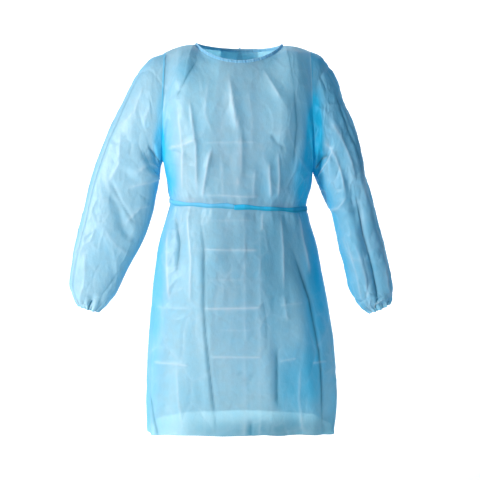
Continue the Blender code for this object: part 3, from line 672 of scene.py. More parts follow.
def crease_net(points, seed):
    """1 on a net of straight creases about a unit apart, falling to 0 between them."""
    cell = np.floor(points).astype(np.int64)
    nearest = np.full(points.shape[:-1], 9.0)
    second = nearest.copy()
    for corner in np.ndindex(3, 3, 3):
        here = cell + np.array(corner) - 1
        spot = here + np.stack([chance(here, seed + k) for k in range(3)], axis=-1)
        away = np.linalg.norm(points - spot, axis=-1)
        second = np.minimum(second, np.maximum(nearest, away))
        nearest = np.minimum(nearest, away)
    return np.exp(-(second - nearest) / NET_SHARPNESS)


def crumpled(points, sharpness):
    """How far small crumples move the cloth, and where its crease lines are."""
    lift, lines = 0.0, 0.0
    for crumple in CRUMPLES:
        at = points / np.array(crumple.size)
        drift = [soft_noise(at * 1.3, crumple.seed + k) for k in (5, 6, 7)]
        at = at + 0.25 * np.stack(drift, axis=-1)
        way = soft_noise(at * 0.7 + 3.1, crumple.seed + 1)
        net = crease_net(at, crumple.seed)
        soft = soft_noise(at * 0.9, crumple.seed + 2)
        lift = lift + crumple.height * (0.8 * soft + sharpness * way * net)
        lines = lines + np.abs(way) * net * crumple.height / CRUMPLES[0].height
    return lift, lines


def line_distance(across, along, line):
    """How far each place is from a line of points, on which side, and how far along."""
    line = np.array(line, float)
    steps = np.diff(line, axis=0)
    lengths = np.linalg.norm(steps, axis=1)
    starts = np.concatenate([[0], np.cumsum(lengths)])[:-1]
    best = np.full(across.shape, 1e9)
    side = np.zeros(across.shape)
    share = np.zeros(across.shape)
    for start, step, length, before in zip(line[:-1], steps, lengths, starts):
        x, z = across - start[0], along - start[1]
        t = np.clip((x * step[0] + z * step[1]) / length**2, 0, 1)
        away = np.hypot(x - t * step[0], z - t * step[1])
        closer = away < best
        best = np.where(closer, away, best)
        side = np.where(closer, np.sign(step[0] * z - step[1] * x), side)
        share = np.where(closer, (before + t * length) / lengths.sum(), share)
    return best, side, share


def shown(look, height, away, ends):
    """How strongly a crease of this height shows at this distance from its line."""
    return height / look.full_height * ends * np.exp(-away / look.shown_width)


def crease_heights(creases, across, along, scale=(1.0, 1.0)):
    """How far the creases lift the cloth, their painted highlight, 1 on their crests, and their painted
    shade, 1 down their troughs.
    """
    lift, crest, trough = (np.zeros(across.shape) for _ in range(3))
    for crease in creases:
        line = np.array(crease.points) * np.array(scale)
        away, side, share = line_distance(across * scale[0], along * scale[1], line)
        away = rounded_off(away, CREST.roundness)
        ends = faded_ends(share, CREST.fade)
        lift += crease.height * ends * np.exp(-away / (crease.width * (1 + crease.lean * side)))
        if crease.height > 0:
            crest += shown(CREST, crease.height, away, ends)
        else:
            trough += shown(TROUGH, -crease.height, away, ends)
    return lift, crest, trough


def packing_heights(creases, across, height):
    """The level creases that packing pressed in, and the upright ones between, with their painted
    highlight.
    """
    lift, crest = np.zeros(across.shape), np.zeros(across.shape)
    for crease in creases:
        t = (across - crease.start) / (crease.end - crease.start)
        away = rounded_off(height - crease.height - crease.tilt * (t - 0.5), PACKED.roundness)
        ends = faded_ends(t, PACKED.fade)
        lift += crease.depth * ends * np.exp(-away / PACKED_WIDTH)
        crest += shown(PACKED, crease.depth, away, ends)
    there = smooth_step((PACK_COLUMNS_BELOW - height) / 0.05)
    for column in PACK_COLUMNS:
        away = rounded_off(across - column.place, PACKED.roundness)
        lift += column.depth * there * np.exp(-away / PACKED_COLUMN_WIDTH)
        crest += shown(PACKED, column.depth, away, there)
    return lift, crest


def patched(point):
    """How much deeper in colour the cloth is in its broad patches, partly as painted shade, and how much
    darker by painted shade.
    """
    deep, dark = np.zeros(point.shape[:-1]), np.zeros(point.shape[:-1])
    for patch in PATCHES:
        x = (point[..., 0] - patch.x) / patch.half_width
        z = (point[..., 2] - patch.z) / patch.half_height
        there = np.exp(-((x**2 + z**2) ** 1.5)) * np.where(point[..., 1] < 0.01, 1.0, 0.7)
        deep += patch.depth * there
        dark += patch.shade * there
    return deep, dark


def outward_of(grids):
    """The cloth's outward direction at each point, shared by the pieces sewn there."""
    names = list(grids)
    places = np.concatenate([grids[name].reshape(-1, 3) for name in names])
    _, which = np.unique(np.round(places, 6), axis=0, return_inverse=True)
    which = which.reshape(-1)
    sums = np.zeros((which.max() + 1, 3))
    start, index = 0, {}
    for name in names:
        grid = grids[name]
        index[name] = which[start : start + grid.shape[0] * grid.shape[1]].reshape(grid.shape[:2])
        start += grid.shape[0] * grid.shape[1]
        faces = np.cross(grid[1:, 1:] - grid[:-1, :-1], grid[1:, :-1] - grid[:-1, 1:])
        rows, columns = faces.shape[:2]
        for i, j in ((0, 0), (0, 1), (1, 0), (1, 1)):
            corners = index[name][i : i + rows, j : j + columns]
            np.add.at(sums, corners.reshape(-1), faces.reshape(-1, 3))
    return {name: unit(sums[index[name]]) for name in names}


def spaced(keys, step):
    """Evenly spaced values that take in every key."""
    values = [np.array([keys[0]], float)]
    for low, high in zip(keys[:-1], keys[1:]):
        count = max(1, int(np.ceil(abs(high - low) / step)))
        values.append(np.linspace(low, high, count + 1)[1:])
    return np.concatenate(values)


def body_columns():
    """The angles of the columns of each panel, in order as seen from outside."""
    keys = (0, NECK_ANGLE, LEFT_PANEL_END, JOIN_ANGLE, LEFT_BELT_END, RIGHT_PANEL_END,
            LEFT_BELT_CROSSES, np.pi - NECK_ANGLE, np.pi)
    front = spaced(keys, np.pi / 200)
    return {
        "front": front,
        "back_right": front[front <= RIGHT_PANEL_END + 1e-9][::-1],
        "back_left": front[front >= LEFT_PANEL_END - 1e-9][::-1],
    }


def body_rows():
    """The levels of the rows, with the belt's edges and middle among them."""
    tall = UNDERARM_Z["right"] - HEM_Z
    half_belt = BELT_WIDTH / 2 / tall
    skirt = spaced((0, BELT_LEVEL - half_belt), GRID_STEP / tall)
    belt = np.linspace(BELT_LEVEL - half_belt, BELT_LEVEL + half_belt, 7)
    chest = spaced((BELT_LEVEL + half_belt, 1), GRID_STEP / tall)
    yoke = np.linspace(1, 2, YOKE_ROWS + 1)
    return np.concatenate([skirt, belt[1:], chest[1:], yoke[1:]])


def sleeve_turns(side):
    turns = np.linspace(0, 1, 2 * YOKE_ROWS + 1)
    return turns[::-1] if side == "right" else turns


def sleeve_runs():
    return {
        "sleeve": np.linspace(0, CUFF_START, SLEEVE_ROWS + 1),
        "cuff": np.linspace(CUFF_START, 1, CUFF_ROWS + 1),
    }


def hem_rise(point):
    """The hem isn't quite level: how far its edge stands above the solid's."""
    x = point[..., 0]
    front = 0.0055 * np.exp(-(((x - 0.07) / 0.035) ** 2)) + 0.0015 * np.sin(38 * x + 1.0)
    back = 0.0020 * np.sin(27 * x + 2.0)
    rise = np.where(point[..., 1] < 0, front, back) * smooth_step(np.abs(point[..., 1]) / 0.08)
    return rise * (1 - smooth_step((point[..., 2] - HEM_Z) / 0.12))


def body_detail(facing, angle, level, point):
    """Creases and crumples of a body panel, over its large folds."""
    x, z = point[..., 0], point[..., 2]
    creases = FRONT_CREASES if facing == "front" else BACK_CREASES
    packing = FRONT_PACKING if facing == "front" else BACK_PACKING
    lift, crest, trough = crease_heights(creases, x, z)
    packed, pressed_in = packing_heights(packing, x, z)
    off_seam = smooth_step(np.sin(angle) / 0.22)
    deep, dark = patched(point)
    small, lines = crumpled(point, 1.0)
    turn = whole_turn(facing, angle)
    ripples = np.cos(41 * turn + 2 * np.sin(5 * turn)) + 0.7 * np.cos(67 * turn + 1.0)
    small = small * CRUMPLE_SHARE["body"] + 0.0011 * ripples * np.exp(-near_belt(level) / 0.022)
    calm = (1 - 0.75 * pressed_by_belt(level)) * smooth_step((2.0 - level) / 0.06)
    lift = ((lift + packed) * off_seam + small) * calm
    # Crease crests and crumple lines carry a painted highlight, and troughs carry painted shade, as the
    # patches do.
    crest = (crest + pressed_in) * off_seam + CRUMPLE_LINES * lines
    return lift, crest, deep, dark + trough * off_seam


def sleeve_creases(side, turn, run):
    """The listed creases of a sleeve, which may run across its first column."""
    total = np.zeros((3, *turn.shape))
    for lap in (-1, 0, 1):
        total += crease_heights(SLEEVE_CREASES[side], turn + lap, run, SLEEVE_SPAN)
    return total


def sleeve_detail(side, turn, run, point):
    """Creases and crumples of a sleeve, and the finer gathers at its cuff."""
    lift, crest, trough = sleeve_creases(side, turn, run)
    deep, dark = patched(point)
    start = smooth_step(run / 0.05)
    cuff = smooth_step((run - 0.86) / 0.08)
    share = CRUMPLE_SHARE["body"] + (CRUMPLE_SHARE[side] - CRUMPLE_SHARE["body"]) * start
    small, lines = crumpled(point, 1.0 + 0.5 * start)
    swing = 2 * np.pi * turn
    gathers = 0.0009 * np.cos(25 * swing + 1.5 * np.sin(3 * swing))
    gathers = gathers + 0.0006 * np.cos(37 * swing + 1.0)
    mouth = 0.0012 * np.exp(-((run - 0.955) / 0.006) ** 2)
    lift = lift * start * (1 - 0.5 * cuff) + small * share * (1 - 0.7 * cuff)
    lift = lift + (gathers - mouth) * cuff
    # Painted shade in troughs, between the cuff's gathers and over the left sleeve; painted deeper colour
    # along the sleeve's edges; a painted highlight on crests, on crumple lines and over the right sleeve.
    between = 0.75 * cuff * np.clip(-np.cos(swing * CUFF_GATHERS), 0, 1) ** 3
    dark = dark + trough + between + 0.3 * SLEEVE_PAINTED_SHADE[side]
    from_edge = np.abs((turn + 0.25) % 0.5 - 0.25)
    deep = deep + SLEEVE_PAINTED_SHADE[side] + PAINTED_SIDE_DEPTH * (1 - smooth_step(from_edge / 0.15))
    crest = (0.6 * crest + SLEEVE_PAINTED_LIGHT[side]) * start + CRUMPLE_LINES * share * lines
    return lift, crest, deep, dark


def seam_band(distance):
    """1 within a seam's allowance and 0 beyond it."""
    return 1 - smooth_step((distance - SEAM_ALLOWANCE) / 0.0015)


def body_sheets():
    """Each panel: its plain grid, how far its cloth is moved out, and its marks."""
    sheets = {}
    for name, columns in body_columns().items():
        facing = name.split("_")[0]
        angle, level = np.meshgrid(columns, body_rows())
        point = body_point(facing, angle, level)
        fine, crest, deep, dark = body_detail(facing, angle, level, point)
        lift = body_lift(facing, angle, level, point) + fine
        if name == "back_right":
            lift += overlap_layer(angle)
        # Deeper colour painted along the sides, standing in for the cloth seen aslant there.
        at_side = PAINTED_SIDE_DEPTH * (1 - smooth_step(from_seam(angle) / 0.9))
        deep = deep + at_side * (1 - smooth_step((level - 1.2) / 0.5))
        if facing == "back":
            shoulder = seam_band((2.0 - level) * 0.33) * (from_seam(angle) < NECK_ANGLE)
            allowance = np.maximum(seam_band(from_seam(angle) * 0.10), shoulder)
            deep = np.maximum(SEAM_DEPTH * allowance, deep)
        sheets[name] = Sheet(point, lift, crest, deep, dark)
    return sheets


def sleeve_sheets():
    """The same of each sleeve and cuff, whose cloth is one piece."""
    sheets = {}
    for side in ("right", "left"):
        for name, runs in sleeve_runs().items():
            turn, run = np.meshgrid(sleeve_turns(side), runs)
            point = sleeve_point(side, turn, run)
            fine, crest, deep, dark = sleeve_detail(side, turn, run, point)
            allowance = np.maximum(seam_band(run * 0.75), seam_band(np.abs(turn - 0.5) * 0.40))
            if name == "cuff":
                allowance = np.maximum(allowance, smooth_step((run - 0.965) / 0.003))
            deep = np.maximum(SEAM_DEPTH * allowance, deep)
            lift = sleeve_lift(side, turn, run) + fine
            sheets[f"{name}_{side}"] = Sheet(point, lift, crest, deep, dark)
    return sheets


def sewn_sheets():
    """Every sewn sheet, with its grid of points and the directions out of them."""
    sheets = {**body_sheets(), **sleeve_sheets()}
    outward = outward_of({name: sheet.plain for name, sheet in sheets.items()})
    grids = {}
    for name, sheet in sheets.items():
        grids[name] = sheet.plain + outward[name] * sheet.lift[..., None]
        if name in body_columns():
            grids[name][..., 2] += hem_rise(sheet.plain)
    return grids, outward_of(grids), sheets


def new_piece(name, points, faces, material, **values):
    mesh = bpy.data.meshes.new(name)
    mesh.from_pydata(np.reshape(points, (-1, 3)).tolist(), [], faces)
    mesh.shade_smooth()
    mesh.materials.append(material)
    for label, value in values.items():
        layer = mesh.attributes.new(label, "FLOAT", "POINT")
        layer.data.foreach_set("value", np.clip(value, 0, 1).astype(np.float32).ravel())
    piece = bpy.data.objects.new(name, mesh)
    bpy.context.scene.collection.objects.link(piece)
    return piece


def grid_faces(shape, closed=False, looped=False):
    """Faces between rows of points. The last column may join the first, or the last row."""
    index = np.arange(shape[0] * shape[1]).reshape(shape)
    if closed:
        index = np.column_stack([index, index[:, 0]])
    if looped:
        index = np.vstack([index, index[:1]])
    low, high = index[:-1], index[1:]
    corners = [low[:, :-1], low[:, 1:], high[:, 1:], high[:, :-1]]
    return np.stack(corners, axis=-1).reshape(-1, 4).tolist()


def cloth_piece(name, grid, material, marks):
    """One open sheet of cloth. A tube's last column is its first."""
    tube = np.allclose(grid[:, 0], grid[:, -1], atol=1e-6)
    if tube:
        grid = grid[:, :-1]
        marks = {label: values[:, :-1] for label, values in marks.items()}
    return new_piece(name, grid, grid_faces(grid.shape[:2], closed=tube), material, **marks)


def strip_rings(middle, across, outward, widths, thickness, sides, corners):
    """Rings of points round a flat strip, along its middle line."""
    swing = np.linspace(0, 2 * np.pi, sides + 1)[:-1]
    beside = power(np.cos(swing), corners[0])[None, :, None]
    over = power(np.sin(swing), corners[1])[None, :, None]
    rings = middle[:, None] + across[:, None] * beside * widths[:, None, None] / 2
    return rings + outward[:, None] * over * thickness / 2


def band_piece(name, middle, across, outward, widths, thickness, material, depth):
    """A flattened tube of doubled cloth along a line, with painted shade along its lower edge."""
    sides = 20
    rings = strip_rings(middle, across, outward, widths, thickness, sides, (0.55, 0.8))
    beside = power(np.cos(np.linspace(0, 2 * np.pi, sides + 1)[:-1]), 0.55)
    below = np.sign(across[:, 2])[:, None] * beside < -0.45
    ring = np.arange(sides)
    faces = grid_faces(rings.shape[:2], closed=True)
    faces += [ring[::-1].tolist(), (ring + sides * (len(middle) - 1)).tolist()]
    flat = np.full(below.shape, float(depth))
    return new_piece(name, rings, faces, material, creased=0 * flat, doubled=flat, shaded=0.5 * below)


def main_sheets(material):
    grids, outward, sheets = sewn_sheets()
    pieces = {}
    for name, grid in grids.items():
        marks = {label: getattr(sheets[name], label) for label in MARKS}
        piece = cloth_piece(name + "_cloth", grid, material, marks)
        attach(piece, "root")
        parts = (name + "_bodice", name + "_skirt") if name in body_columns() else (name,)
        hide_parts(*parts)
        pieces[name] = piece
    return grids, outward, pieces


def add_node(tree, kind, inputs, **settings):
    """A new node, with its sockets linked or set, by name or number."""
    node = tree.nodes.new(kind)
    for label, value in settings.items():
        setattr(node, label, value)
    for key, value in inputs.items():
        socket = node.inputs[key]
        if isinstance(value, bpy.types.NodeSocket):
            tree.links.new(value, socket)
        elif socket.type == "RGBA":
            socket.default_value = (*value, 1.0)
        else:
            socket.default_value = value
    return node


def mix_shader(tree, share, first, second):
    return add_node(tree, "ShaderNodeMixShader", {0: share, 1: first, 2: second}).outputs[0]


def mix_colour(tree, share, first, second):
    inputs = {"Factor": share, 6: first, 7: second}
    return add_node(tree, "ShaderNodeMix", inputs, data_type="RGBA").outputs[2]


def product(tree, first, second):
    return add_node(tree, "ShaderNodeMath", {0: first, 1: second}, operation="MULTIPLY").outputs[0]


def added(tree, first, second):
    return add_node(tree, "ShaderNodeMath", {0: first, 1: second}, operation="ADD").outputs[0]


def ranged(tree, value, low, high, to_low, to_high):
    inputs = {"From Min": low, "From Max": high, "To Min": to_low, "To Max": to_high}
    return add_node(tree, "ShaderNodeMapRange", {"Value": value, **inputs}).outputs["Result"]


def noise(tree, place, scale, detail, roughness, stretch=(1, 1, 1)):
    spread = add_node(tree, "ShaderNodeMapping", {"Vector": place, "Scale": stretch}).outputs["Vector"]
    inputs = {"Vector": spread, "Scale": scale, "Detail": detail, "Roughness": roughness}
    return add_node(tree, "ShaderNodeTexNoise", inputs).outputs["Fac"]


# Colours where the cloth is single, where it is doubled and where it is painted deeper,
# of the painted shade in troughs and shaded places, and of the painted highlight on
# crests, then those of the light that comes through it from behind and of what shows
# through it.
Finish = namedtuple("Finish", "colour dense rim pale glow clear see_through translucent")
CLOTH = Finish(
    (0.46, 0.64, 0.69), (0.0, 0.47, 0.78), (0.0, 0.15, 0.25), (0.86, 0.93, 0.95),
    (0.11, 0.49, 0.66), (0.34, 0.66, 0.8), 0.28, 0.36,
)
TRIM = Finish(
    (0.38, 0.7, 0.84), (0.03, 0.52, 0.82), (0.0, 0.24, 0.4), (0.7, 0.88, 0.96),
    (0.14, 0.6, 0.84), (0.35, 0.74, 0.93), 0.36, 0.34,
)


def cloth_colour(tree, finish, place, clouds, marks):
    broad = noise(tree, place, 9, 3, 0.5, (1.0, 1.0, 0.6))
    mottle = added(tree, product(tree, clouds, 0.5), product(tree, broad, 0.5))
    cloudy = ranged(tree, mottle, 0.35, 0.65, 0.0, 0.28)
    colour = mix_colour(tree, cloudy, finish.colour, finish.dense)
    # Deeper where doubled and where deeper colour is painted in, then painted shade, then a painted
    # highlight on crests.
    colour = mix_colour(tree, product(tree, marks["doubled"], 0.99), colour, finish.dense)
    colour = mix_colour(tree, product(tree, marks["shaded"], 0.90), colour, finish.rim)
    return mix_colour(tree, product(tree, marks["creased"], 0.55), colour, finish.pale)


def cloth_bump(tree, place):
    """Fibres and bonding dots, over soft wrinkles too small for the mesh."""
    fibres = noise(tree, place, 300, 3, 0.6, (1.0, 1.0, 0.18))
    wrinkles = noise(tree, place, 55, 4, 0.62, (1.0, 1.0, 0.7))
    dots = add_node(tree, "ShaderNodeTexVoronoi", {"Vector": place, "Scale": 620}).outputs["Distance"]
    height = added(tree, product(tree, dots, 0.35), fibres)
    inputs = {"Height": height, "Strength": 0.20, "Distance": 0.0004}
    grain = add_node(tree, "ShaderNodeBump", inputs).outputs["Normal"]
    inputs = {"Height": wrinkles, "Normal": grain, "Strength": 0.55, "Distance": 0.0040}
    return add_node(tree, "ShaderNodeBump", inputs).outputs["Normal"]


def see_through_share(tree, finish, clouds, slanted, marks):
    """Less shows through where the cloth is thick, doubled, shaded or seen aslant."""
    share = product(tree, ranged(tree, clouds, 0.3, 0.7, 1.15, 0.80), finish.see_through)
    for covered, least in ((marks["doubled"], 0.25), (slanted, 0.45), (marks["shaded"], 0.20)):
        share = product(tree, share, ranged(tree, covered, 0.0, 1.0, 1.0, least))
    return share


def non_woven(name, finish):
    """Spun-bonded fibre: cloudy, finely dotted, and it lets light and outlines through."""
    material = bpy.data.materials.new(name)
    material.use_nodes = True
    tree = material.node_tree
    tree.nodes.clear()
    place = tree.nodes.new("ShaderNodeTexCoord").outputs["Object"]
    clouds = noise(tree, place, 38, 5, 0.6)
    marks = {}
    for label in MARKS:
        mark = add_node(tree, "ShaderNodeAttribute", {}, attribute_name=label)
        marks[label] = mark.outputs["Fac"]
    aslant = add_node(tree, "ShaderNodeLayerWeight", {"Blend": 0.5}).outputs["Facing"]
    slanted = ranged(tree, aslant, 0.18, 0.80, 0.0, 1.0)
    surface = add_node(tree, "ShaderNodeBsdfPrincipled", {
        "Base Color": cloth_colour(tree, finish, place, clouds, marks),
        "Normal": cloth_bump(tree, place),
        "Roughness": 0.38,
        "Specular IOR Level": 0.35,
        "Sheen Weight": 0.45,
        "Sheen Roughness": 0.5,
        "Sheen Tint": finish.dense,
    })
    glowing = mix_colour(tree, marks["doubled"], finish.glow, finish.dense)
    # Painted shade darkens the light that comes through the cloth as well.
    glowing = mix_colour(tree, marks["shaded"], glowing, finish.rim)
    glow = add_node(tree, "ShaderNodeBsdfTranslucent", {"Color": glowing})
    through_more = tuple(value**3 for value in finish.clear)
    tint = mix_colour(tree, slanted, finish.clear, through_more)
    clear = add_node(tree, "ShaderNodeBsdfTransparent", {"Color": tint})
    body = mix_shader(tree, finish.translucent, surface.outputs[0], glow.outputs[0])
    share = see_through_share(tree, finish, clouds, slanted, marks)
    result = mix_shader(tree, share, body, clear.outputs[0])
    add_node(tree, "ShaderNodeOutputMaterial", {"Surface": result})
    return material


def column_at(angles, angle):
    return int(np.argmin(np.abs(angles - angle)))


def belt_line(grids, outward):
    """The belt's lines over the panels, from the join in front to the knot behind."""
    columns, rows = body_columns(), body_rows()
    middle = int(np.argmin(np.abs(rows - BELT_LEVEL)))
    spans = {
        "right": (("front", JOIN_ANGLE, 0.0), ("back_right", 0.0, JOIN_ANGLE)),
        "left": (
            ("front", JOIN_ANGLE, np.pi),
            ("back_left", np.pi, LEFT_BELT_CROSSES),
            ("back_right", RIGHT_PANEL_END, LEFT_BELT_END),
        ),
    }
    lines = {}
    for side, parts in spans.items():
        points, normals = [], []
        for name, start, end in parts:
            i, j = column_at(columns[name], start), column_at(columns[name], end)
            order = np.arange(i, j + (1 if j > i else -1), 1 if j > i else -1)
            points.append(grids[name][middle, order])
            normals.append(outward[name][middle, order])
        lines[side] = np.concatenate(points), np.concatenate(normals)
    return lines


def resampled(points, count):
    """Points evenly spaced along a line."""
    gaps = np.linalg.norm(np.diff(points, axis=0), axis=1)
    at = np.concatenate([[0], np.cumsum(gaps)])
    even = np.linspace(0, at[-1], count)
    return np.stack([np.interp(even, at, points[:, k]) for k in range(3)], axis=1)


def smoothed(points, times):
    for _ in range(times):
        points = points.copy()
        points[1:-1] = (points[:-2] + 2 * points[1:-1] + points[2:]) / 4
    return points


def along_of(points):
    return unit(np.gradient(points, axis=0))


def add_belt(grids, outward, material):
    """Both halves of the belt, a little twisted, wavy and uneven in width."""
    belts = {}
    for side, (line, normals) in belt_line(grids, outward).items():
        away = unit(smoothed(resampled(normals, BELT_POINTS), 6))
        middle = smoothed(resampled(line, BELT_POINTS), 10) + away * BAND_LIFT
        across = unit(np.cross(along_of(middle), away))
        s = np.linspace(0, 1, BELT_POINTS)
        twist = 0.28 * np.sin(21 * s + (0.5 if side == "left" else 2.2)) + 0.15 * np.sin(47 * s)
        across = unit(across + away * (0.35 * twist)[:, None])
        width = BELT_SHOWN + 0.0016 * np.sin(17 * s + 1.0) + 0.0014 * np.sin(39 * s)
        middle[:, 2] += 0.0012 * np.sin(13 * s + 0.8) + 0.0008 * np.sin(31 * s)
        from_join = s if side == "left" else 1 - s
        middle[:, 2] += JOIN_STEP[side] * (1 - smooth_step(from_join / 0.08))
        belts[side] = band_piece(
            f"waist_tie_{side}_cloth", middle, across, away, width, BELT_THICKNESS,
            material, BELT_DEPTH[side],
        )
    return belts


def tail_line(grids, outward, tie, side):
    """A tail's middle line down the outer back panel, and the cloth's directions there."""
    panel, away = grids["back_right"], outward["back_right"]
    below_knot = panel[:, column_at(body_columns()["back_right"], KNOT_ANGLE)]
    line, normals = [], []
    for drop in np.linspace(0, 1, TAIL_POINTS):
        height = tie.top + (tie.bottom - tie.top) * drop
        nearest = np.argmin(np.abs(below_knot[:, 2] - height))
        x = below_knot[nearest, 0] + side * (tie.apart + tie.lean * drop**0.9)
        far = (panel[..., 0] - x) ** 2 + (panel[..., 2] - height) ** 2
        i, j = np.unravel_index(np.argmin(far), far.shape)
        out_of_knot = 0.17 * tie.knot[1] * (1 - smooth_step(drop / 0.18))
        lift = tie.lift + out_of_knot + 0.004 * np.sin(np.pi * drop) ** 2
        line.append(np.array([x, panel[i, j, 1], height]) + away[i, j] * lift)
        normals.append(away[i, j])
    return smoothed(np.array(line), 8), unit(smoothed(np.array(normals), 12))


def add_tail(grids, outward, tie, side, name, material):
    line, away = tail_line(grids, outward, tie, side)
    s = np.linspace(0, 1, len(line))
    across = unit(np.cross(along_of(line), away))
    curl = 0.35 * np.sin(5 * s + side) * smooth_step(s / 0.2)
    across = unit(across + away * curl[:, None])
    away = unit(np.cross(across, along_of(line)))
    width = tie.width * (0.55 + 0.45 * smooth_step(s / 0.3)) * (1 + 0.06 * np.sin(19 * s + side))
    return band_piece(name, line, across, away, width, TAIL_THICKNESS, material, TAIL_DEPTH)


def knot_path(tie, centre, strip):
    """An overhand knot's middle line, three crossing loops, and the way out of it."""
    t = np.linspace(0, 2 * np.pi, KNOT_POINTS + 1)
    x = (np.sin(t) + 2 * np.sin(2 * t)) / 3.0
    z = (np.cos(t) - 2 * np.cos(2 * t)) / 3.0
    y = -np.sin(3 * t)
    away = np.array(tie.facing) / np.linalg.norm(tie.facing)
    right = unit(np.cross(away, np.array([0.0, 0.0, 1.0])))
    up = np.cross(right, away)
    wide, deep, tall = tie.knot
    path = centre + np.outer(x * (wide - strip) / 2, right)
    path = path + np.outer(y * (deep - KNOT_THICKNESS) / 2, away)
    return path + np.outer(z * (tall - strip) / 2, up), away


def add_knot(tie, centre, name, material):
    """A flat strip tied in an overhand knot, pulled tight."""
    strip = min(tie.knot[0], tie.knot[2]) * 0.30
    path, away = knot_path(tie, centre, strip)
    way = unit(np.roll(path, -1, axis=0)[:-1] - np.roll(path, 1, axis=0)[:-1])
    path = path[:-1]
    outwards = unit(path - centre + away * 0.004)
    across = unit(np.cross(way, outwards))
    outwards = np.cross(across, way)
    width = strip * (1 + 0.12 * np.sin(7 * np.linspace(0, 2 * np.pi, KNOT_POINTS + 1)[:-1]))
    rings = strip_rings(path, across, outwards, width, KNOT_THICKNESS, 16, (0.7, 0.9))
    ones = np.ones(rings.shape[:2])
    faces = grid_faces(rings.shape[:2], closed=True, looped=True)
    # The whole knot carries a little painted shade.
    return new_piece(name, rings, faces, material, creased=0 * ones, doubled=ones, shaded=0.1 * ones)


def neck_path(grids):
    """The neck's edge, from the left panel's end by the front to the right's."""
    columns = body_columns()
    ends = {name: column_at(angles, NECK_ANGLE) for name, angles in columns.items()}
    starts = {name: column_at(angles, np.pi - NECK_ANGLE) for name, angles in columns.items()}
    parts = [
        grids["back_left"][-1, starts["back_left"] :][::-1],
        grids["front"][-1, ends["front"] + 1 : starts["front"]][::-1],
        grids["back_right"][-1, : ends["back_right"] + 1][::-1],
    ]
    return np.concatenate(parts)


def add_binding(grids, material):
    """A strip folded over the neck's edge: its outer half, the fold and its inner half."""
    path = smoothed(resampled(neck_path(grids), BINDING_POINTS), 4)
    inward = unit(-path * np.array([1.0, 1.0, 0.0]))
    lean = unit(inward * 0.45 + np.array([0.0, 0.0, 0.9]))
    out = unit(np.cross(along_of(path), lean))
    out = out * np.sign(np.sum(out * -inward, axis=1))[:, None]
    lap = 2 * np.pi * np.linspace(0, 1, len(path))
    puckers = 0.00045 * np.sin(95 * lap) + 0.00035 * np.sin(61 * lap + 1.0)
    stand = 0.0009 + 0.0004 * np.sin(23 * lap)
    mirrored = [row._replace(stand=-row.stand) for row in reversed(BINDING_HALF)]
    profile = (*BINDING_HALF, BINDING_FOLD, *mirrored)
    rows = []
    for row in profile:
        shift = row.stand * stand + puckers * row.pucker * (-1 if row.stand < 0 else 1)
        rows.append(path + lean * (row.height + 0.0003) + out * shift[:, None])
    grid = np.array(rows)
    heights = np.array([row.height for row in profile])[:, None]
    stitched = np.exp(-((heights - BINDING_STITCH) / 0.0012) ** 2) * np.ones(grid.shape[:2])
    at_back = smooth_step(grid[..., 1] / 0.02)
    # Painted paler away from its stitch line, and with painted shade over its back half.
    return new_piece(
        "neck_binding_cloth", grid, grid_faces(grid.shape[:2]), material,
        creased=0.8 * (1 - stitched), doubled=0.5 + 0 * stitched, shaded=0.5 * at_back,
    )


def add_trim(grids, outward, material):
    made = {}
    for side, piece in add_belt(grids, outward, material).items():
        made[f"waist_tie_{side}"] = piece
    made["neck_binding"] = add_binding(grids, material)
    for place, tie in TIES.items():
        low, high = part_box(f"{place}_knot")
        centre = np.array((low + high) / 2)
        made[f"{place}_knot"] = add_knot(tie, centre, f"{place}_knot_cloth", material)
    for side, name in ((-1, "right"), (1, "left")):
        for place, tie in TIES.items():
            node = f"{place}_tail_{name}"
            made[node] = add_tail(grids, outward, tie, side, node + "_cloth", material)
    for node, piece in made.items():
        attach(piece, "root")
        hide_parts(node)
    return made


# The flat cut of each piece: width and length, and its area where it isn't oblong.
Cut = namedtuple("Cut", "width length area held rests_on")


def add_camera():
    data = bpy.data.cameras.new("camera")
    data.lens = LENS
    data.sensor_width = 36.0
    camera = bpy.data.objects.new("camera", data)
    bpy.context.scene.collection.objects.link(camera)
    camera.location = CAMERA_AT
    aim = Vector(CAMERA_AIM) - Vector(CAMERA_AT)
    camera.rotation_euler = aim.to_track_quat("-Z", "Y").to_euler()
    bpy.context.scene.camera = camera


def plain_material(name, colour, roughness, brightness):
    material = bpy.data.materials.new(name)
    material.use_nodes = True
    shader = material.node_tree.nodes["Principled BSDF"]
    shader.inputs["Base Color"].default_value = (*colour, 1.0)
    shader.inputs["Roughness"].default_value = roughness
    shader.inputs["Emission Color"].default_value = (1.0, 1.0, 1.0, 1.0)
    shader.inputs["Emission Strength"].default_value = brightness
    return material


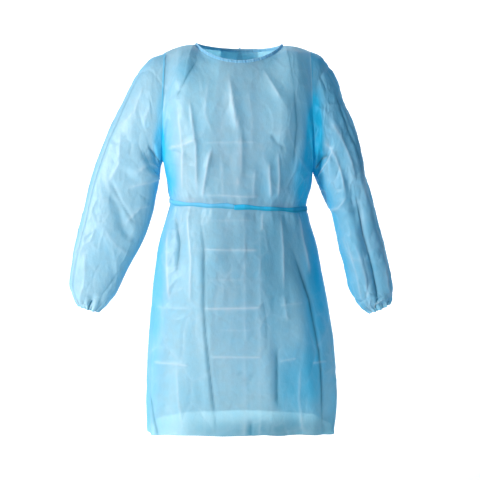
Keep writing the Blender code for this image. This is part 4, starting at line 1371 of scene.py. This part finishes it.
def add_stage():
    """A pale floor that sweeps up into a pale backdrop."""
    turn = np.linspace(0, np.pi / 2, 17)
    back, radius = 2.6, 1.4
    outline = [(-7.0, FLOOR_Z)]
    outline += [(back + radius * np.sin(a), FLOOR_Z + radius * (1 - np.cos(a))) for a in turn]
    outline += [(back + radius, 6.0)]
    grid = np.array([[(x, y, z) for y, z in outline] for x in (-8.0, 8.0)])
    material = plain_material("pale_floor", (0.93, 0.94, 0.95), 0.9, 0.20)
    new_piece("floor", grid, grid_faces(grid.shape[:2]), material)


def add_light(name, place, aim, size, power_watts, colour):
    data = bpy.data.lights.new(name, "AREA")
    data.shape = "DISK"
    data.size = size
    data.energy = power_watts
    data.color = colour
    light = bpy.data.objects.new(name, data)
    bpy.context.scene.collection.objects.link(light)
    light.location = place
    light.rotation_euler = (Vector(aim) - Vector(place)).to_track_quat("-Z", "Y").to_euler()


def add_lighting():
    world = bpy.data.worlds.new("studio")
    world.use_nodes = True
    world.node_tree.nodes["Background"].inputs["Color"].default_value = (1.0, 1.0, 1.0, 1.0)
    world.node_tree.nodes["Background"].inputs["Strength"].default_value = 0.17
    bpy.context.scene.world = world
    add_light("key", (-2.8, -1.9, 0.15), (0.0, 0.0, -0.5), 0.9, 172, (1.0, 0.99, 0.97))
    add_light("fill", (1.2, -3.2, 0.8), (0.0, 0.0, -0.6), 1.6, 5, (0.95, 0.98, 1.0))
    add_light("behind", (0.35, 1.6, 1.8), (0.25, 3.4, -0.6), 2.6, 90, (1.0, 1.0, 1.0))
    bpy.context.scene.view_settings.view_transform = "Standard"
    bpy.context.scene.view_settings.look = "None"


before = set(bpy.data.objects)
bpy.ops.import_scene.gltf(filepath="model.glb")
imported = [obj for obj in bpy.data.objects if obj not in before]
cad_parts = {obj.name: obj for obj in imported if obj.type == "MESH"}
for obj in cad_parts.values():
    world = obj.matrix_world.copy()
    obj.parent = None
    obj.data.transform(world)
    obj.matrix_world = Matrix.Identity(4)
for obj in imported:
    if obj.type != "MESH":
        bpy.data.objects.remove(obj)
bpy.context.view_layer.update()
add_camera()
add_stage()
add_lighting()
materials = {"cloth": non_woven("non_woven_cloth", CLOTH), "trim": non_woven("non_woven_trim", TRIM)}
grids, outward, pieces = main_sheets(materials["cloth"])
pieces.update(add_trim(grids, outward, materials["trim"]))
